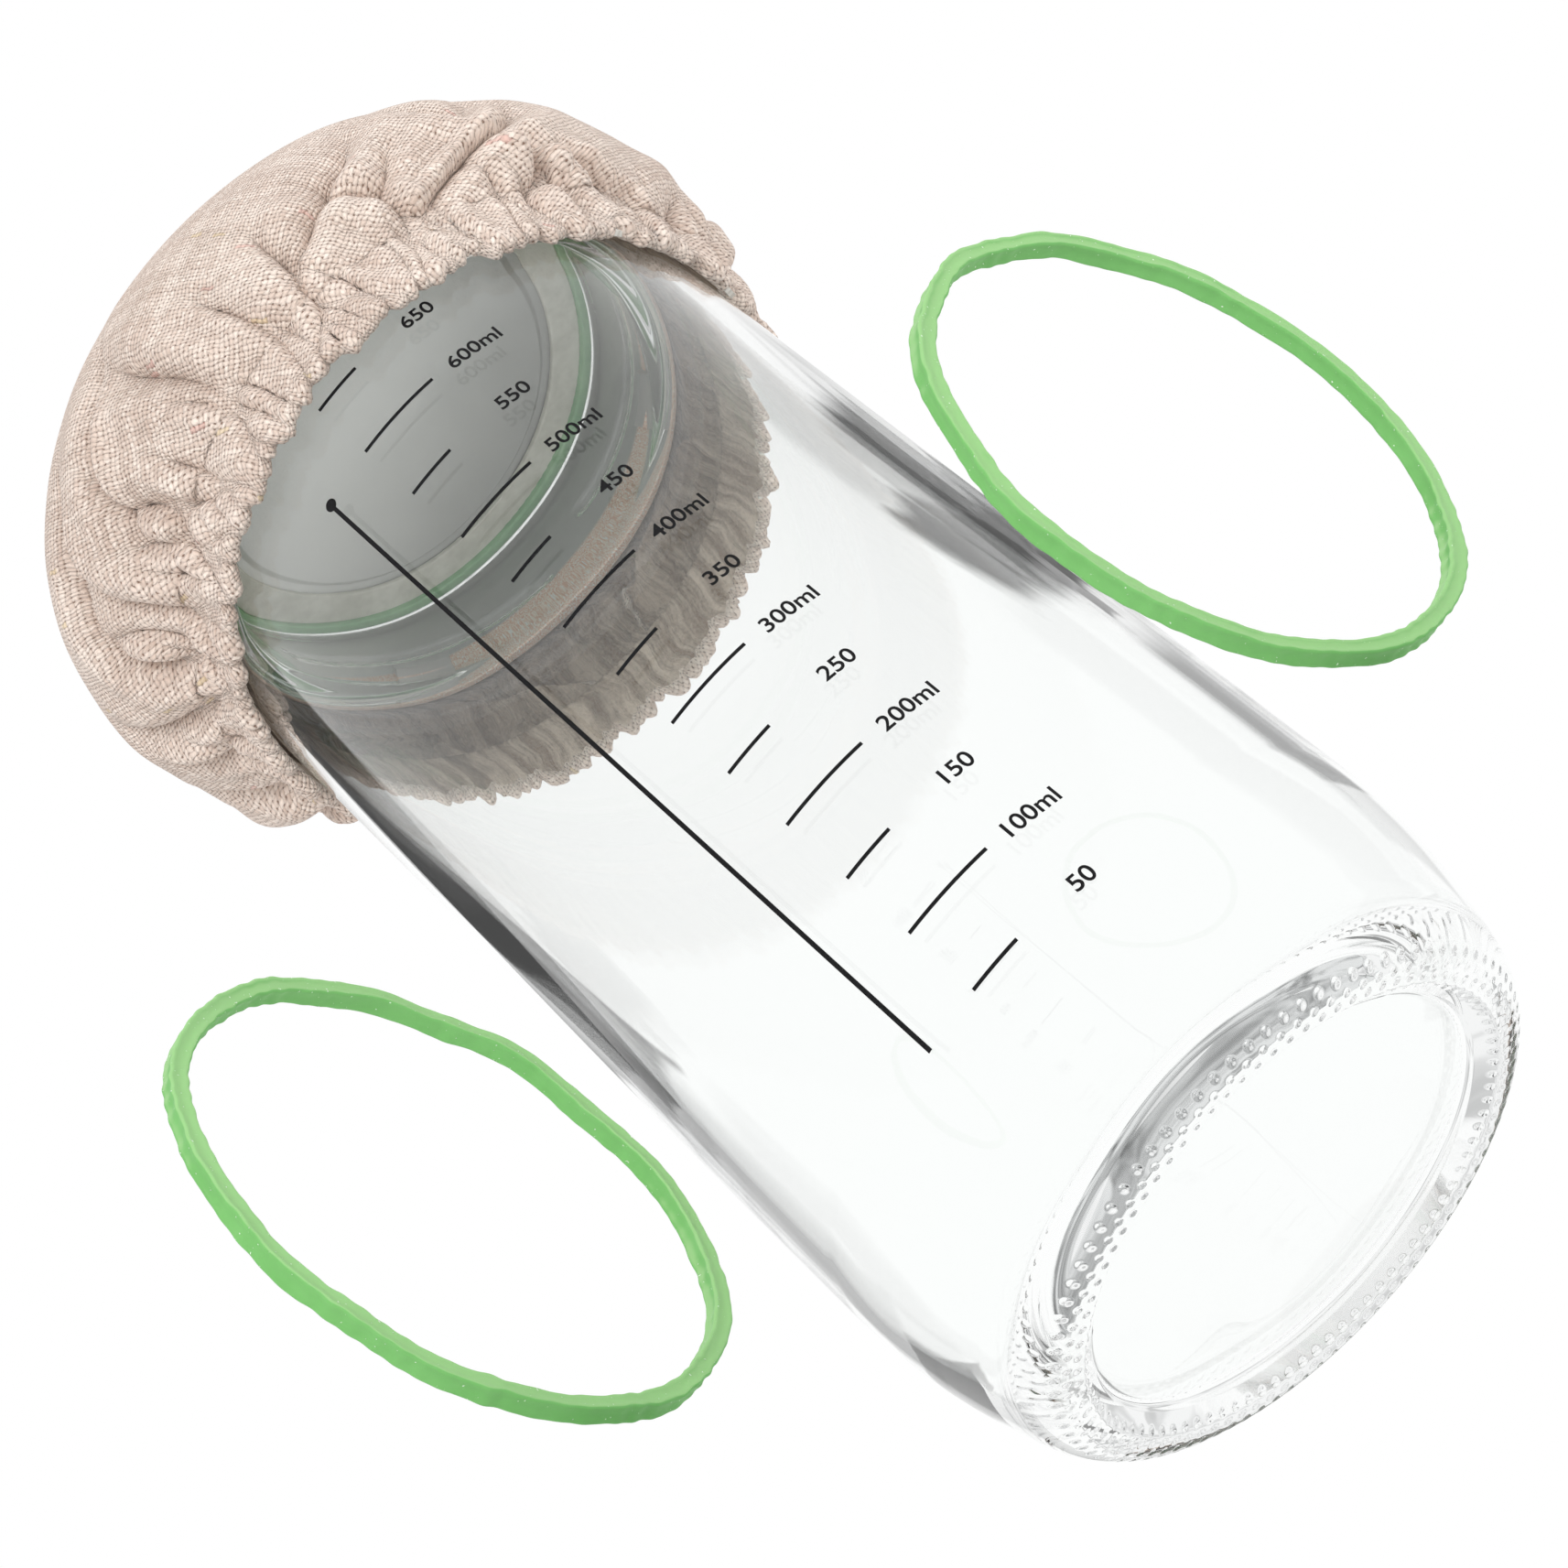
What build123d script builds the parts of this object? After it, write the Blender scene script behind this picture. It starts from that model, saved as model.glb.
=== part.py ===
from build123d import *
import math
import os

# Sourdough starter jar: a straight-sided glass jar with a printed volume scale, a lugged metal
# lid with its seal, a gathered linen cover with an elastic hem, and two loose level bands.
# Millimetres, +Z up, origin at the centre of the base, printed scale facing -Y.

# Glass jar
jar_radius = 41.75
wall_thickness = 2.9
jar_height = 180.0
floor_level = 7.0
recess_depth = 2.4
recess_slope = 3.1
recess_rounding = 1.2
bearing_inset = 8.55
bearing_width = 2.6
heel_foot_level = 4.0
heel_inset = 4.65
heel_top_level = 31.0
inner_heel_inset = 4.2
inner_heel_rise = 4.0
shoulder_height = 8.6
shoulder_convex_share = 0.62
neck_height = 13.9
neck_inset = 4.75
neck_wall = 3.0
lip_rounding = 1.1

# Thread of the neck and the lugs of the lid
thread_lead = 16.0
thread_starts = 4
thread_sweep_angle = 78.0
thread_depth = 1.2
thread_root_width = 1.9
thread_crest_width = 0.8
thread_drop = 9.4
lug_sweep_angle = 15.0
lug_delay_angle = 34.0
lug_gap = 0.45

# Metal lid
lid_sheet = 0.8
lid_height = 14.4
lid_thread_clearance = 0.7
lid_rounding = 1.4
curl_width = 1.0
curl_height = 1.9
curl_rounding = 0.45
panel_inset = 1.2
panel_drop = 0.9
panel_rounding = 0.35

# Seal in the lid
seal_thickness = 1.7
seal_lip_thickness = 0.9
seal_lip_width = 4.8
seal_split_inset = 0.6
seal_clearance = 0.15
seal_rounding = 0.3

# Linen cover
hem_drop = 32.5
hem_tilt_angle = 5.8
cover_height = 56.5
cover_bulge = 9.85
cover_lean = 3.2
cloth_thickness = 1.1
cloth_clearance = 0.35
fold_count = 28
fold_depth = 1.7
bore_overrun = 12.0

# Elastic in the hem
elastic_width = 5.0
elastic_thickness = 0.8
elastic_rise = 3.2
elastic_cloth = 0.6
elastic_clearance = 0.15

# Printed scale: equal steps up the straight side, which hold 50 ml each in this bore
ink_thickness = 0.08
ink_clearance = 0.02
mark_count = 13
mark_ml_count = 50
mark_zero_rise = 7.27
mark_head_drop = 6.1
mark_stroke = 0.46
mark_start_angle = -6.25
mark_long_angle = 16.7
mark_short_angle = 9.6
feed_line_angle = -17.1
feed_line_stroke = 0.58
feed_dot_radius = 0.85

# Loose level bands, each a gap away from the jar's side in the direction of its bearing
band_radius = 29.25
band_width = 2.5
band_thickness = 2.2
band_rounding = 0.5
band_left_gap = 24.6
band_left_bearing_angle = -122.6
band_left_turn_angle = 158.1
band_left_lean_angle = 6.3
band_right_gap = 15.6
band_right_bearing_angle = -54.4
band_right_turn_angle = 143.4
band_right_lean_angle = 13.9

# Cloth sections from the hem up: height, radius, fold depth and sideways lean, as shares
cover_shares = (
    (0.00, 0.868, 0.55, 0.00),
    (0.09, 0.882, 0.60, 0.05),
    (0.20, 0.910, 0.85, 0.25),
    (0.32, 0.966, 1.00, 0.60),
    (0.49, 0.990, 0.60, 1.00),
    (0.66, 0.937, 0.35, 1.00),
    (0.81, 0.796, 0.22, 1.00),
    (0.92, 0.584, 0.15, 1.00),
    (0.98, 0.345, 0.10, 1.00),
    (1.00, 0.172, 0.06, 1.00),
)
hem_section_count = 2

bore_radius = jar_radius - wall_thickness
neck_radius = jar_radius - neck_inset
mouth_radius = neck_radius - neck_wall
neck_level = jar_height - neck_height
shoulder_level = neck_level - shoulder_height
bearing_outer_radius = jar_radius - bearing_inset
bearing_inner_radius = bearing_outer_radius - bearing_width

start_spacing_angle = 360 / thread_starts
thread_level = jar_height - thread_drop
thread_tip_radius = neck_radius + thread_depth

seal_level = jar_height + seal_clearance
seal_top = seal_level + seal_thickness
seal_split_radius = mouth_radius - seal_split_inset
seal_inner_radius = seal_split_radius - seal_lip_width

lid_underside = seal_top + seal_clearance
lid_top = lid_underside + lid_sheet
skirt_level = lid_top - lid_height
skirt_inner_radius = thread_tip_radius + lid_thread_clearance
skirt_outer_radius = skirt_inner_radius + lid_sheet
panel_edge_radius = seal_inner_radius - panel_inset
panel_radius = panel_edge_radius - panel_drop

hem_level = jar_height - hem_drop
cover_bulge_radius = jar_radius + cover_bulge
cover_bore_radius = jar_radius + cloth_clearance
elastic_radius = cover_bore_radius + elastic_cloth + elastic_thickness / 2
ink_radius = jar_radius + ink_clearance


def turned(edges):
    """Solid swept once round the jar's axis by a closed outline drawn as (radius, height)."""
    return revolve(Plane.XZ * make_face(edges), Axis.Z)


def turned_corners(corners):
    """Turned solid whose outline is given as corners of (radius, height, rounding)."""
    points = [(radius, level) for radius, level, _ in corners]
    outline = FilletPolyline(*points, radius=[corner[2] for corner in corners], close=True)
    return turned(outline.edges())


def s_curve(foot, head, share):
    """Two tangent arcs, upright at both ends, that join foot to head at a share of the way."""
    middle = tuple(a + (b - a) * share for a, b in zip(foot, head))
    return [
        TangentArc(foot, middle, tangent=(0, 1)),
        TangentArc(head, middle, tangent=(0, -1)),
    ]


def helical_ridge(root_radius, tip_radius, level, start_angle, sweep_angle):
    """Thread ridge from root_radius to tip_radius that rises with the thread's lead."""
    path = Helix(
        pitch=thread_lead,
        height=thread_lead * sweep_angle / 360,
        radius=root_radius,
    )
    section = Polyline(
        (0, -thread_root_width / 2),
        (tip_radius - root_radius, -thread_crest_width / 2),
        (tip_radius - root_radius, thread_crest_width / 2),
        (0, thread_root_width / 2),
        close=True,
    )
    plane = Plane(origin=path @ 0, x_dir=(1, 0, 0), z_dir=path % 0)
    ridge = sweep(plane * make_face(section), path=path, is_frenet=True)
    return Pos(0, 0, level) * Rot(0, 0, start_angle) * ridge


def jar_body():
    """Glass jar with a recessed base, a heel tapered inside and out, and a lugged neck."""
    heel = TangentArc(
        (jar_radius, heel_top_level),
        (jar_radius - heel_inset, heel_foot_level),
        tangent=(0, -1),
    )
    foot = TangentArc(heel @ 1, (bearing_outer_radius, 0), tangent=heel % 1)
    base = FilletPolyline(
        (bearing_outer_radius, 0),
        (bearing_inner_radius, 0),
        (bearing_inner_radius - recess_slope, recess_depth),
        (0, recess_depth),
        radius=[0, recess_rounding],
    )
    axis_line = Line((0, recess_depth), (0, floor_level))
    inner_heel = TangentArc(
        (bore_radius, heel_top_level),
        (bore_radius - inner_heel_inset, floor_level + inner_heel_rise),
        tangent=(0, -1),
    )
    lean = inner_heel % 1
    corner_radius = inner_heel_rise / (1 + lean.X)
    floor_edge = bore_radius - inner_heel_inset + corner_radius * lean.Y
    corner = TangentArc(inner_heel @ 1, (floor_edge, floor_level), tangent=lean)
    floor = Line((floor_edge, floor_level), (0, floor_level))
    bore = Line((bore_radius, shoulder_level), (bore_radius, heel_top_level))
    throat = s_curve((bore_radius, shoulder_level), (mouth_radius, neck_level), shoulder_convex_share)
    lip = FilletPolyline(
        (mouth_radius, neck_level),
        (mouth_radius, jar_height),
        (neck_radius, jar_height),
        (neck_radius, neck_level),
        radius=lip_rounding,
    )
    shoulder = s_curve((jar_radius, shoulder_level), (neck_radius, neck_level), shoulder_convex_share)
    side = Line((jar_radius, shoulder_level), (jar_radius, heel_top_level))
    outside = [side, heel, foot, base, *shoulder, lip]
    inside = [bore, inner_heel, corner, floor, axis_line, *throat]
    jar = turned([edge for piece in outside + inside for edge in piece.edges()])
    for start in range(thread_starts):
        jar += helical_ridge(
            neck_radius - thread_depth / 2,
            thread_tip_radius,
            thread_level,
            start * start_spacing_angle,
            thread_sweep_angle,
        )
    return jar


def lid_shell():
    """Sheet metal lid with a sunk panel, a curled skirt and lugs between the neck's ridges."""
    lid = turned_corners([
        (0, lid_top - panel_drop, 0),
        (panel_radius, lid_top - panel_drop, panel_rounding),
        (panel_edge_radius, lid_top, panel_rounding),
        (skirt_outer_radius, lid_top, lid_rounding),
        (skirt_outer_radius, skirt_level + curl_height, curl_rounding / 2),
        (skirt_outer_radius + curl_width, skirt_level + curl_height, curl_rounding),
        (skirt_outer_radius + curl_width, skirt_level, curl_rounding),
        (skirt_inner_radius, skirt_level, curl_rounding / 2),
        (skirt_inner_radius, lid_underside, lid_rounding - lid_sheet),
        (panel_edge_radius, lid_underside, panel_rounding),
        (panel_radius, lid_underside - panel_drop, panel_rounding),
        (0, lid_underside - panel_drop, 0),
    ])
    rise_per_degree = thread_lead / 360
    half_pitch = thread_lead / thread_starts / 2
    for start in range(thread_starts):
        lid += helical_ridge(
            skirt_inner_radius + lid_sheet / 2,
            neck_radius + lug_gap,
            thread_level + lug_delay_angle * rise_per_degree - half_pitch,
            start * start_spacing_angle + lug_delay_angle,
            lug_sweep_angle,
        )
    return lid


def lid_gasket():
    """Green outer ring of the seal, which lies on the jar's rim."""
    return turned_corners([
        (seal_split_radius, seal_level, seal_rounding),
        (thread_tip_radius, seal_level, seal_rounding),
        (thread_tip_radius, seal_top, seal_rounding),
        (seal_split_radius, seal_top, seal_rounding),
    ])


def lid_liner():
    """Pale thin inner ring of the seal, against the lid's underside."""
    return turned_corners([
        (seal_inner_radius, seal_top - seal_lip_thickness, seal_rounding),
        (seal_split_radius, seal_top - seal_lip_thickness, seal_rounding),
        (seal_split_radius, seal_top, seal_rounding),
        (seal_inner_radius, seal_top, seal_rounding),
    ])


def cover_plane(height_share, lean_share):
    """Plane of one cloth section: level at the top of the cover, tilted with the hem below."""
    tilt = math.radians(hem_tilt_angle) * (1 - height_share)
    return Plane(
        origin=(-cover_lean * lean_share, 0, hem_level + cover_height * height_share),
        x_dir=(1, 0, 0),
        z_dir=(0, math.sin(tilt), math.cos(tilt)),
    )


def gathered_section(radius, depth):
    """Closed outline of fold_count bulging arcs that meet in creases depth inside the radius."""
    arcs = []
    step = 2 * math.pi / fold_count
    for fold in range(fold_count):
        angles = (fold * step, (fold + 0.5) * step, (fold + 1) * step)
        reaches = (radius - depth, radius, radius - depth)
        points = [(reach * math.cos(angle), reach * math.sin(angle)) for reach, angle in zip(reaches, angles)]
        arcs.append(ThreePointArc(*points))
    return make_face(arcs)


def hem_slab(rise, width):
    """Flat slab parallel to the hem's plane, starting rise above it."""
    plane = cover_plane(0, 0)
    side = cover_bulge_radius * 3
    return plane * Pos(0, 0, rise) * Box(side, side, width, align=(Align.CENTER, Align.CENTER, Align.MIN))


def elastic_ring(margin):
    """Upright ring cut parallel to the hem, with margin added all round."""
    inner = elastic_radius - elastic_thickness / 2 - margin
    outer = elastic_radius + elastic_thickness / 2 + margin
    tall = cover_height * 2
    tube = Cylinder(outer, tall) - Cylinder(inner, tall)
    return (Pos(0, 0, hem_level) * tube) & hem_slab(elastic_rise - margin, elastic_width + 2 * margin)


def cover_cloth():
    """Puffed linen cap with gathers, tight at the hem's elastic and hollow above it."""
    outer = loft([
        cover_plane(height, lean) * gathered_section(cover_bulge_radius * reach, fold_depth * fold)
        for height, reach, fold, lean in cover_shares
    ])
    hollow = loft([
        cover_plane(height, lean)
        * Pos(0, 0, -cloth_thickness)
        * Circle(cover_bulge_radius * reach - fold_depth * fold - cloth_thickness)
        for height, reach, fold, lean in cover_shares[hem_section_count:]
    ])
    bore_foot = hem_level - bore_overrun
    bore_head = hem_level + cover_height * cover_shares[hem_section_count + 1][0]
    bore = Pos(0, 0, bore_foot) * Cylinder(
        cover_bore_radius,
        bore_head - bore_foot,
        align=(Align.CENTER, Align.CENTER, Align.MIN),
    )
    return outer - hollow - bore - elastic_ring(elastic_clearance)


def mark_level(index):
    """Height of scale mark number index, counted from the level of the empty jar."""
    zero_level = floor_level + mark_zero_rise
    return zero_level + (shoulder_level - mark_head_drop - zero_level) * index / mark_count


def ink_patch(start_angle, sweep_angle, low, high):
    """Curved skin of ink on the jar's side between two angles and two heights."""
    outer = ink_radius + ink_thickness
    outline = Polyline((ink_radius, low), (outer, low), (outer, high), (ink_radius, high), close=True)
    patch = revolve(Plane.XZ * make_face(outline), Axis.Z, sweep_angle)
    return Rot(0, 0, start_angle - 90) * patch


def volume_mark(index):
    """Scale mark number index, long at every second one."""
    level = mark_level(index)
    sweep_angle = mark_long_angle if index % 2 == 0 else mark_short_angle
    return ink_patch(mark_start_angle, sweep_angle, level - mark_stroke / 2, level + mark_stroke / 2)


def feed_line():
    """Upright line beside the marks."""
    sweep_angle = math.degrees(feed_line_stroke / jar_radius)
    return ink_patch(
        feed_line_angle - sweep_angle / 2,
        sweep_angle,
        mark_level(1),
        mark_level(mark_count - 1) - feed_dot_radius - ink_clearance,
    )


def feed_dot():
    """Round dot at the head of the upright line."""
    shell = Cylinder(ink_radius + ink_thickness, jar_height) - Cylinder(ink_radius, jar_height)
    punch = Cylinder(feed_dot_radius, jar_radius * 2, align=(Align.CENTER, Align.CENTER, Align.MIN))
    dot = shell & (Rot(90, 0, 0) * punch)
    return Pos(0, 0, mark_level(mark_count - 1)) * Rot(0, 0, feed_line_angle) * dot


def band_reach(lean_angle):
    """Half height of a band whose plane leans from upright by lean_angle."""
    lean = math.radians(lean_angle)
    outer = band_radius + band_thickness / 2 - band_rounding
    return outer * math.cos(lean) + (band_width / 2 - band_rounding) * math.sin(lean) + band_rounding


def level_band(gap, bearing_angle, turn_angle, lean_angle):
    """Loose band that stands on its edge beside the jar, turned about the upright and leaning."""
    ring = turned_corners([
        (band_radius - band_thickness / 2, -band_width / 2, band_rounding),
        (band_radius + band_thickness / 2, -band_width / 2, band_rounding),
        (band_radius + band_thickness / 2, band_width / 2, band_rounding),
        (band_radius - band_thickness / 2, band_width / 2, band_rounding),
    ])
    stood = Rot(0, 0, turn_angle - bearing_angle) * Rot(0, 90 - lean_angle, 0) * ring
    distance = jar_radius + gap + band_radius
    return Rot(0, 0, bearing_angle) * Pos(distance, 0, band_reach(lean_angle)) * stood


def nodes():
    """Every piece by its node name."""
    pieces = {
        "jar_body": jar_body(),
        "lid_shell": lid_shell(),
        "lid_gasket": lid_gasket(),
        "lid_liner": lid_liner(),
        "cover_cloth": cover_cloth(),
        "cover_elastic": elastic_ring(0),
        "band_left": level_band(
            band_left_gap, band_left_bearing_angle, band_left_turn_angle, band_left_lean_angle
        ),
        "band_right": level_band(
            band_right_gap, band_right_bearing_angle, band_right_turn_angle, band_right_lean_angle
        ),
        "feed_line": feed_line(),
        "feed_dot": feed_dot(),
    }
    for index in range(1, mark_count + 1):
        pieces[f"mark_{index * mark_ml_count:03d}"] = volume_mark(index)
    return pieces


os.makedirs("parts", exist_ok=True)
for name, piece in nodes().items():
    export_step(piece, f"parts/{name}.step")
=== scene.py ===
import logging
import math
from collections.abc import Callable
from dataclasses import astuple, dataclass
from enum import Enum

import bpy
import numpy as np
from mathutils import Matrix, Vector


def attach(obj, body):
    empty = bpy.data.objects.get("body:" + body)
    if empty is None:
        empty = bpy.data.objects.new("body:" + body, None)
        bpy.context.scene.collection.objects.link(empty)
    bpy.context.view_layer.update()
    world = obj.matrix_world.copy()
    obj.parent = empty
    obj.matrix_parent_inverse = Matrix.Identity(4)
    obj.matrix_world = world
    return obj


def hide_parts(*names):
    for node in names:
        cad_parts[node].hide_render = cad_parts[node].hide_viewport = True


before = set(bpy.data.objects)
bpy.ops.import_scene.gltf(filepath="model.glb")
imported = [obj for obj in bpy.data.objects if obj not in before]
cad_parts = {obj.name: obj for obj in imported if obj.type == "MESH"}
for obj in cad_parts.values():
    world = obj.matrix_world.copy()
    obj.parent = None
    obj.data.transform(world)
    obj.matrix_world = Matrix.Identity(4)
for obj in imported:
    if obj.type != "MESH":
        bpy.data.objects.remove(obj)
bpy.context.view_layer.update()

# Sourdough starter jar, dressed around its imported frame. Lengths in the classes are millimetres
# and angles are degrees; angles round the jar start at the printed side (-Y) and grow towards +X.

MM = 0.001
WHITE = (1.0, 1.0, 1.0, 1.0)
BLACK = (0.0, 0.0, 0.0, 1.0)
LOG = logging.getLogger("starter_jar")

Array = np.ndarray
Material = bpy.types.Material
Options = dict | None


class Side(Enum):
    """Face of a wall of glass or of the cloth."""

    OUTER = 0
    INNER = 1


# Shader graphs


@dataclass(frozen=True)
class Grain:
    """Cloudy noise: cells to a unit, octaves, weight of the finer ones, and how far it swirls."""

    scale: float
    detail: float = 2.0
    roughness: float = 0.5
    swirl: float = 0.0


def maths_method(operation: str, flipped: bool = False) -> Callable[..., "Signal"]:
    """Makes a method that adds one Math node.

    Args:
        operation: the node's operation.
        flipped: whether the signal itself comes last.

    Returns:
        The method.
    """

    def method(self: "Signal", *others: "float | Signal") -> "Signal":
        """Result of the node."""
        values = (*others, self) if flipped else (self, *others)
        return self.graph.maths(operation, *values)

    return method


class Signal:
    """One output of a shader graph that takes part in arithmetic."""

    __add__ = __radd__ = maths_method("ADD")
    __sub__ = maths_method("SUBTRACT")
    __rsub__ = maths_method("SUBTRACT", flipped=True)
    __mul__ = __rmul__ = maths_method("MULTIPLY")
    __pow__ = maths_method("POWER")
    __abs__ = maths_method("ABSOLUTE")
    floor = maths_method("FLOOR")
    sine = maths_method("SINE")
    above = maths_method("GREATER_THAN")
    larger = maths_method("MAXIMUM")

    def __init__(self, graph: "Graph", socket: bpy.types.NodeSocket) -> None:
        """Keeps the socket and its graph."""
        self.graph = graph
        self.socket = socket

    def step(self, low: float, high: float) -> "Signal":
        """Smooth climb from zero at low to one at high, which may be the smaller number."""
        inputs = {"Value": self, "From Min": low, "From Max": high}
        return self.graph.signal("ShaderNodeMapRange", {"interpolation_type": "SMOOTHSTEP"}, inputs)


class Graph:
    """A node tree that is filled by one method."""

    def __init__(self, tree: bpy.types.NodeTree) -> None:
        """Empties the tree."""
        self.tree = tree
        tree.nodes.clear()

    def node(self, kind: str, settings: Options = None, inputs: Options = None) -> bpy.types.Node:
        """Adds one node.

        Args:
            kind: the node's type.
            settings: its own properties, set first.
            inputs: values or signals by the name or number of the socket.

        Returns:
            The node.
        """
        made = self.tree.nodes.new(kind)
        for name, value in (settings or {}).items():
            setattr(made, name, value)
        for key, value in (inputs or {}).items():
            if isinstance(value, Signal):
                self.tree.links.new(value.socket, made.inputs[key])
            else:
                made.inputs[key].default_value = value
        return made

    def signal(
        self, kind: str, settings: Options = None, inputs: Options = None, output: int | str = 0
    ) -> Signal:
        """One output of a node that it adds."""
        return Signal(self, self.node(kind, settings, inputs).outputs[output])

    def maths(self, operation: str, *values: float | Signal) -> Signal:
        """Result of a Math node."""
        return self.signal("ShaderNodeMath", {"operation": operation}, dict(enumerate(values)))

    def vector(self, operation: str, *values: tuple | Signal, output: int | str = 0) -> Signal:
        """Result of a Vector Math node."""
        inputs = dict(enumerate(values))
        return self.signal("ShaderNodeVectorMath", {"operation": operation}, inputs, output)

    def mix(self, share: float | Signal, first: tuple | Signal, second: tuple | Signal) -> Signal:
        """Colour that goes from the first to the second."""
        inputs = {0: share, 6: first, 7: second}
        return self.signal("ShaderNodeMix", {"data_type": "RGBA"}, inputs, 2)

    def blend(self, share: Signal, first: Signal, second: Signal) -> Signal:
        """Shader that goes from the first to the second."""
        return self.signal("ShaderNodeMixShader", inputs={0: share, 1: first, 2: second})

    def noise(self, place: Signal, grain: Grain) -> Signal:
        """Cloudy noise about one half."""
        names = ("Vector", "Scale", "Detail", "Roughness", "Distortion")
        return self.signal("ShaderNodeTexNoise", inputs=dict(zip(names, (place, *astuple(grain)))))

    def scatter(self, place: Signal) -> Signal:
        """One even random value for every place."""
        return self.signal("ShaderNodeTexWhiteNoise", inputs={"Vector": place})

    def scatter_number(self, number: Signal) -> Signal:
        """One even random value for every number."""
        return self.signal("ShaderNodeTexWhiteNoise", {"noise_dimensions": "1D"}, {"W": number})

    def place(self, output: str = "Object") -> Signal:
        """Texture coordinates of the piece itself."""
        return self.signal("ShaderNodeTexCoord", output=output)

    def facing(self) -> Signal:
        """Direction that the surface faces."""
        return self.signal("ShaderNodeNewGeometry", output="Normal")

    def split(self, vector: Signal) -> list[Signal]:
        """The three parts of a vector."""
        made = self.node("ShaderNodeSeparateXYZ", inputs={0: vector})
        return [Signal(self, socket) for socket in made.outputs]

    def join(self, x: Signal, y: Signal) -> Signal:
        """Vector of two parts."""
        return self.signal("ShaderNodeCombineXYZ", inputs={0: x, 1: y})

    def ray(self, question: str) -> Signal:
        """What the light path says of the ray that arrives."""
        return self.signal("ShaderNodeLightPath", output=question)

    def glassy(self) -> Signal:
        """One for a ray that comes off gloss or through glass, else zero."""
        return self.ray("Is Glossy Ray").larger(self.ray("Is Transmission Ray"))

    def bump(self, height: Signal, distance: float) -> Signal:
        """Normal bent by a height, with the distance in millimetres at a height of one."""
        inputs = {"Height": height, "Distance": distance * MM}
        return self.signal("ShaderNodeBump", inputs=inputs)

    def principled(self, **sockets: object) -> Signal:
        """Principled shader, its sockets named in lower case with underscores."""
        names = [key.replace("_", " ").title().replace("Ior", "IOR") for key in sockets]
        return self.signal("ShaderNodeBsdfPrincipled", inputs=dict(zip(names, sockets.values())))


def shown(*parts: int) -> tuple[float, ...]:
    """Linear colour of a screen colour.

    Args:
        parts: red, green and blue out of 255.

    Returns:
        Red, green, blue and an opaque alpha.
    """
    knee, slope, lift, power = 0.04045, 12.92, 0.055, 2.4
    shares = [part / 255 for part in parts]
    linear = [s / slope if s <= knee else ((s + lift) / (1 + lift)) ** power for s in shares]
    return (*linear, 1.0)


# Finishes


class Finish:
    """A material, whose shader each kind of finish works out."""

    name: str

    def surface(self, graph: Graph) -> Signal:
        """Shader of the finish."""
        raise NotImplementedError

    def material(self) -> Material:
        """Makes the material.

        Returns:
            The material.
        """
        material = bpy.data.materials.new(self.name)
        material.use_nodes = True
        graph = Graph(material.node_tree)
        graph.node("ShaderNodeOutputMaterial", inputs={"Surface": self.surface(graph)})
        return material


@dataclass(frozen=True)
class GlassFinish(Finish):
    """Clear soda-lime glass that lets lamps shine through and frees light trapped in its walls."""

    name: str = "clear_glass"
    tint: tuple = (0.985, 0.995, 0.99, 1.0)
    bend: float = 1.5
    shadow_tint: tuple = (0.93, 0.95, 0.94, 1.0)
    pale_tint: tuple = (0.91, 0.915, 0.915, 1.0)
    dull_tint: tuple = (0.56, 0.565, 0.565, 1.0)
    trap_depth: float = 8.5
    swirl: Grain = Grain(48.0, 3.0, swirl=2.2)
    swirl_range: tuple = (0.46, 0.62)

    def surface(self, graph: Graph) -> Signal:
        """Glass to most rays, clear to shadows, and a dull swirl to trapped rays.

        Args:
            graph: the material's graph.

        Returns:
            The shader.
        """
        glass = graph.principled(
            base_color=self.tint, roughness=0.0, ior=self.bend, transmission_weight=1.0
        )
        clear, pale, dull = [
            graph.signal("ShaderNodeBsdfTransparent", inputs={"Color": tint})
            for tint in (self.shadow_tint, self.pale_tint, self.dull_tint)
        ]
        swirl = graph.noise(graph.place(), self.swirl).step(*self.swirl_range)
        trapped = graph.ray("Ray Depth").above(self.trap_depth)
        seen = graph.blend(trapped, glass, graph.blend(swirl, pale, dull))
        return graph.blend(graph.ray("Is Shadow Ray"), seen, clear)


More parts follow.
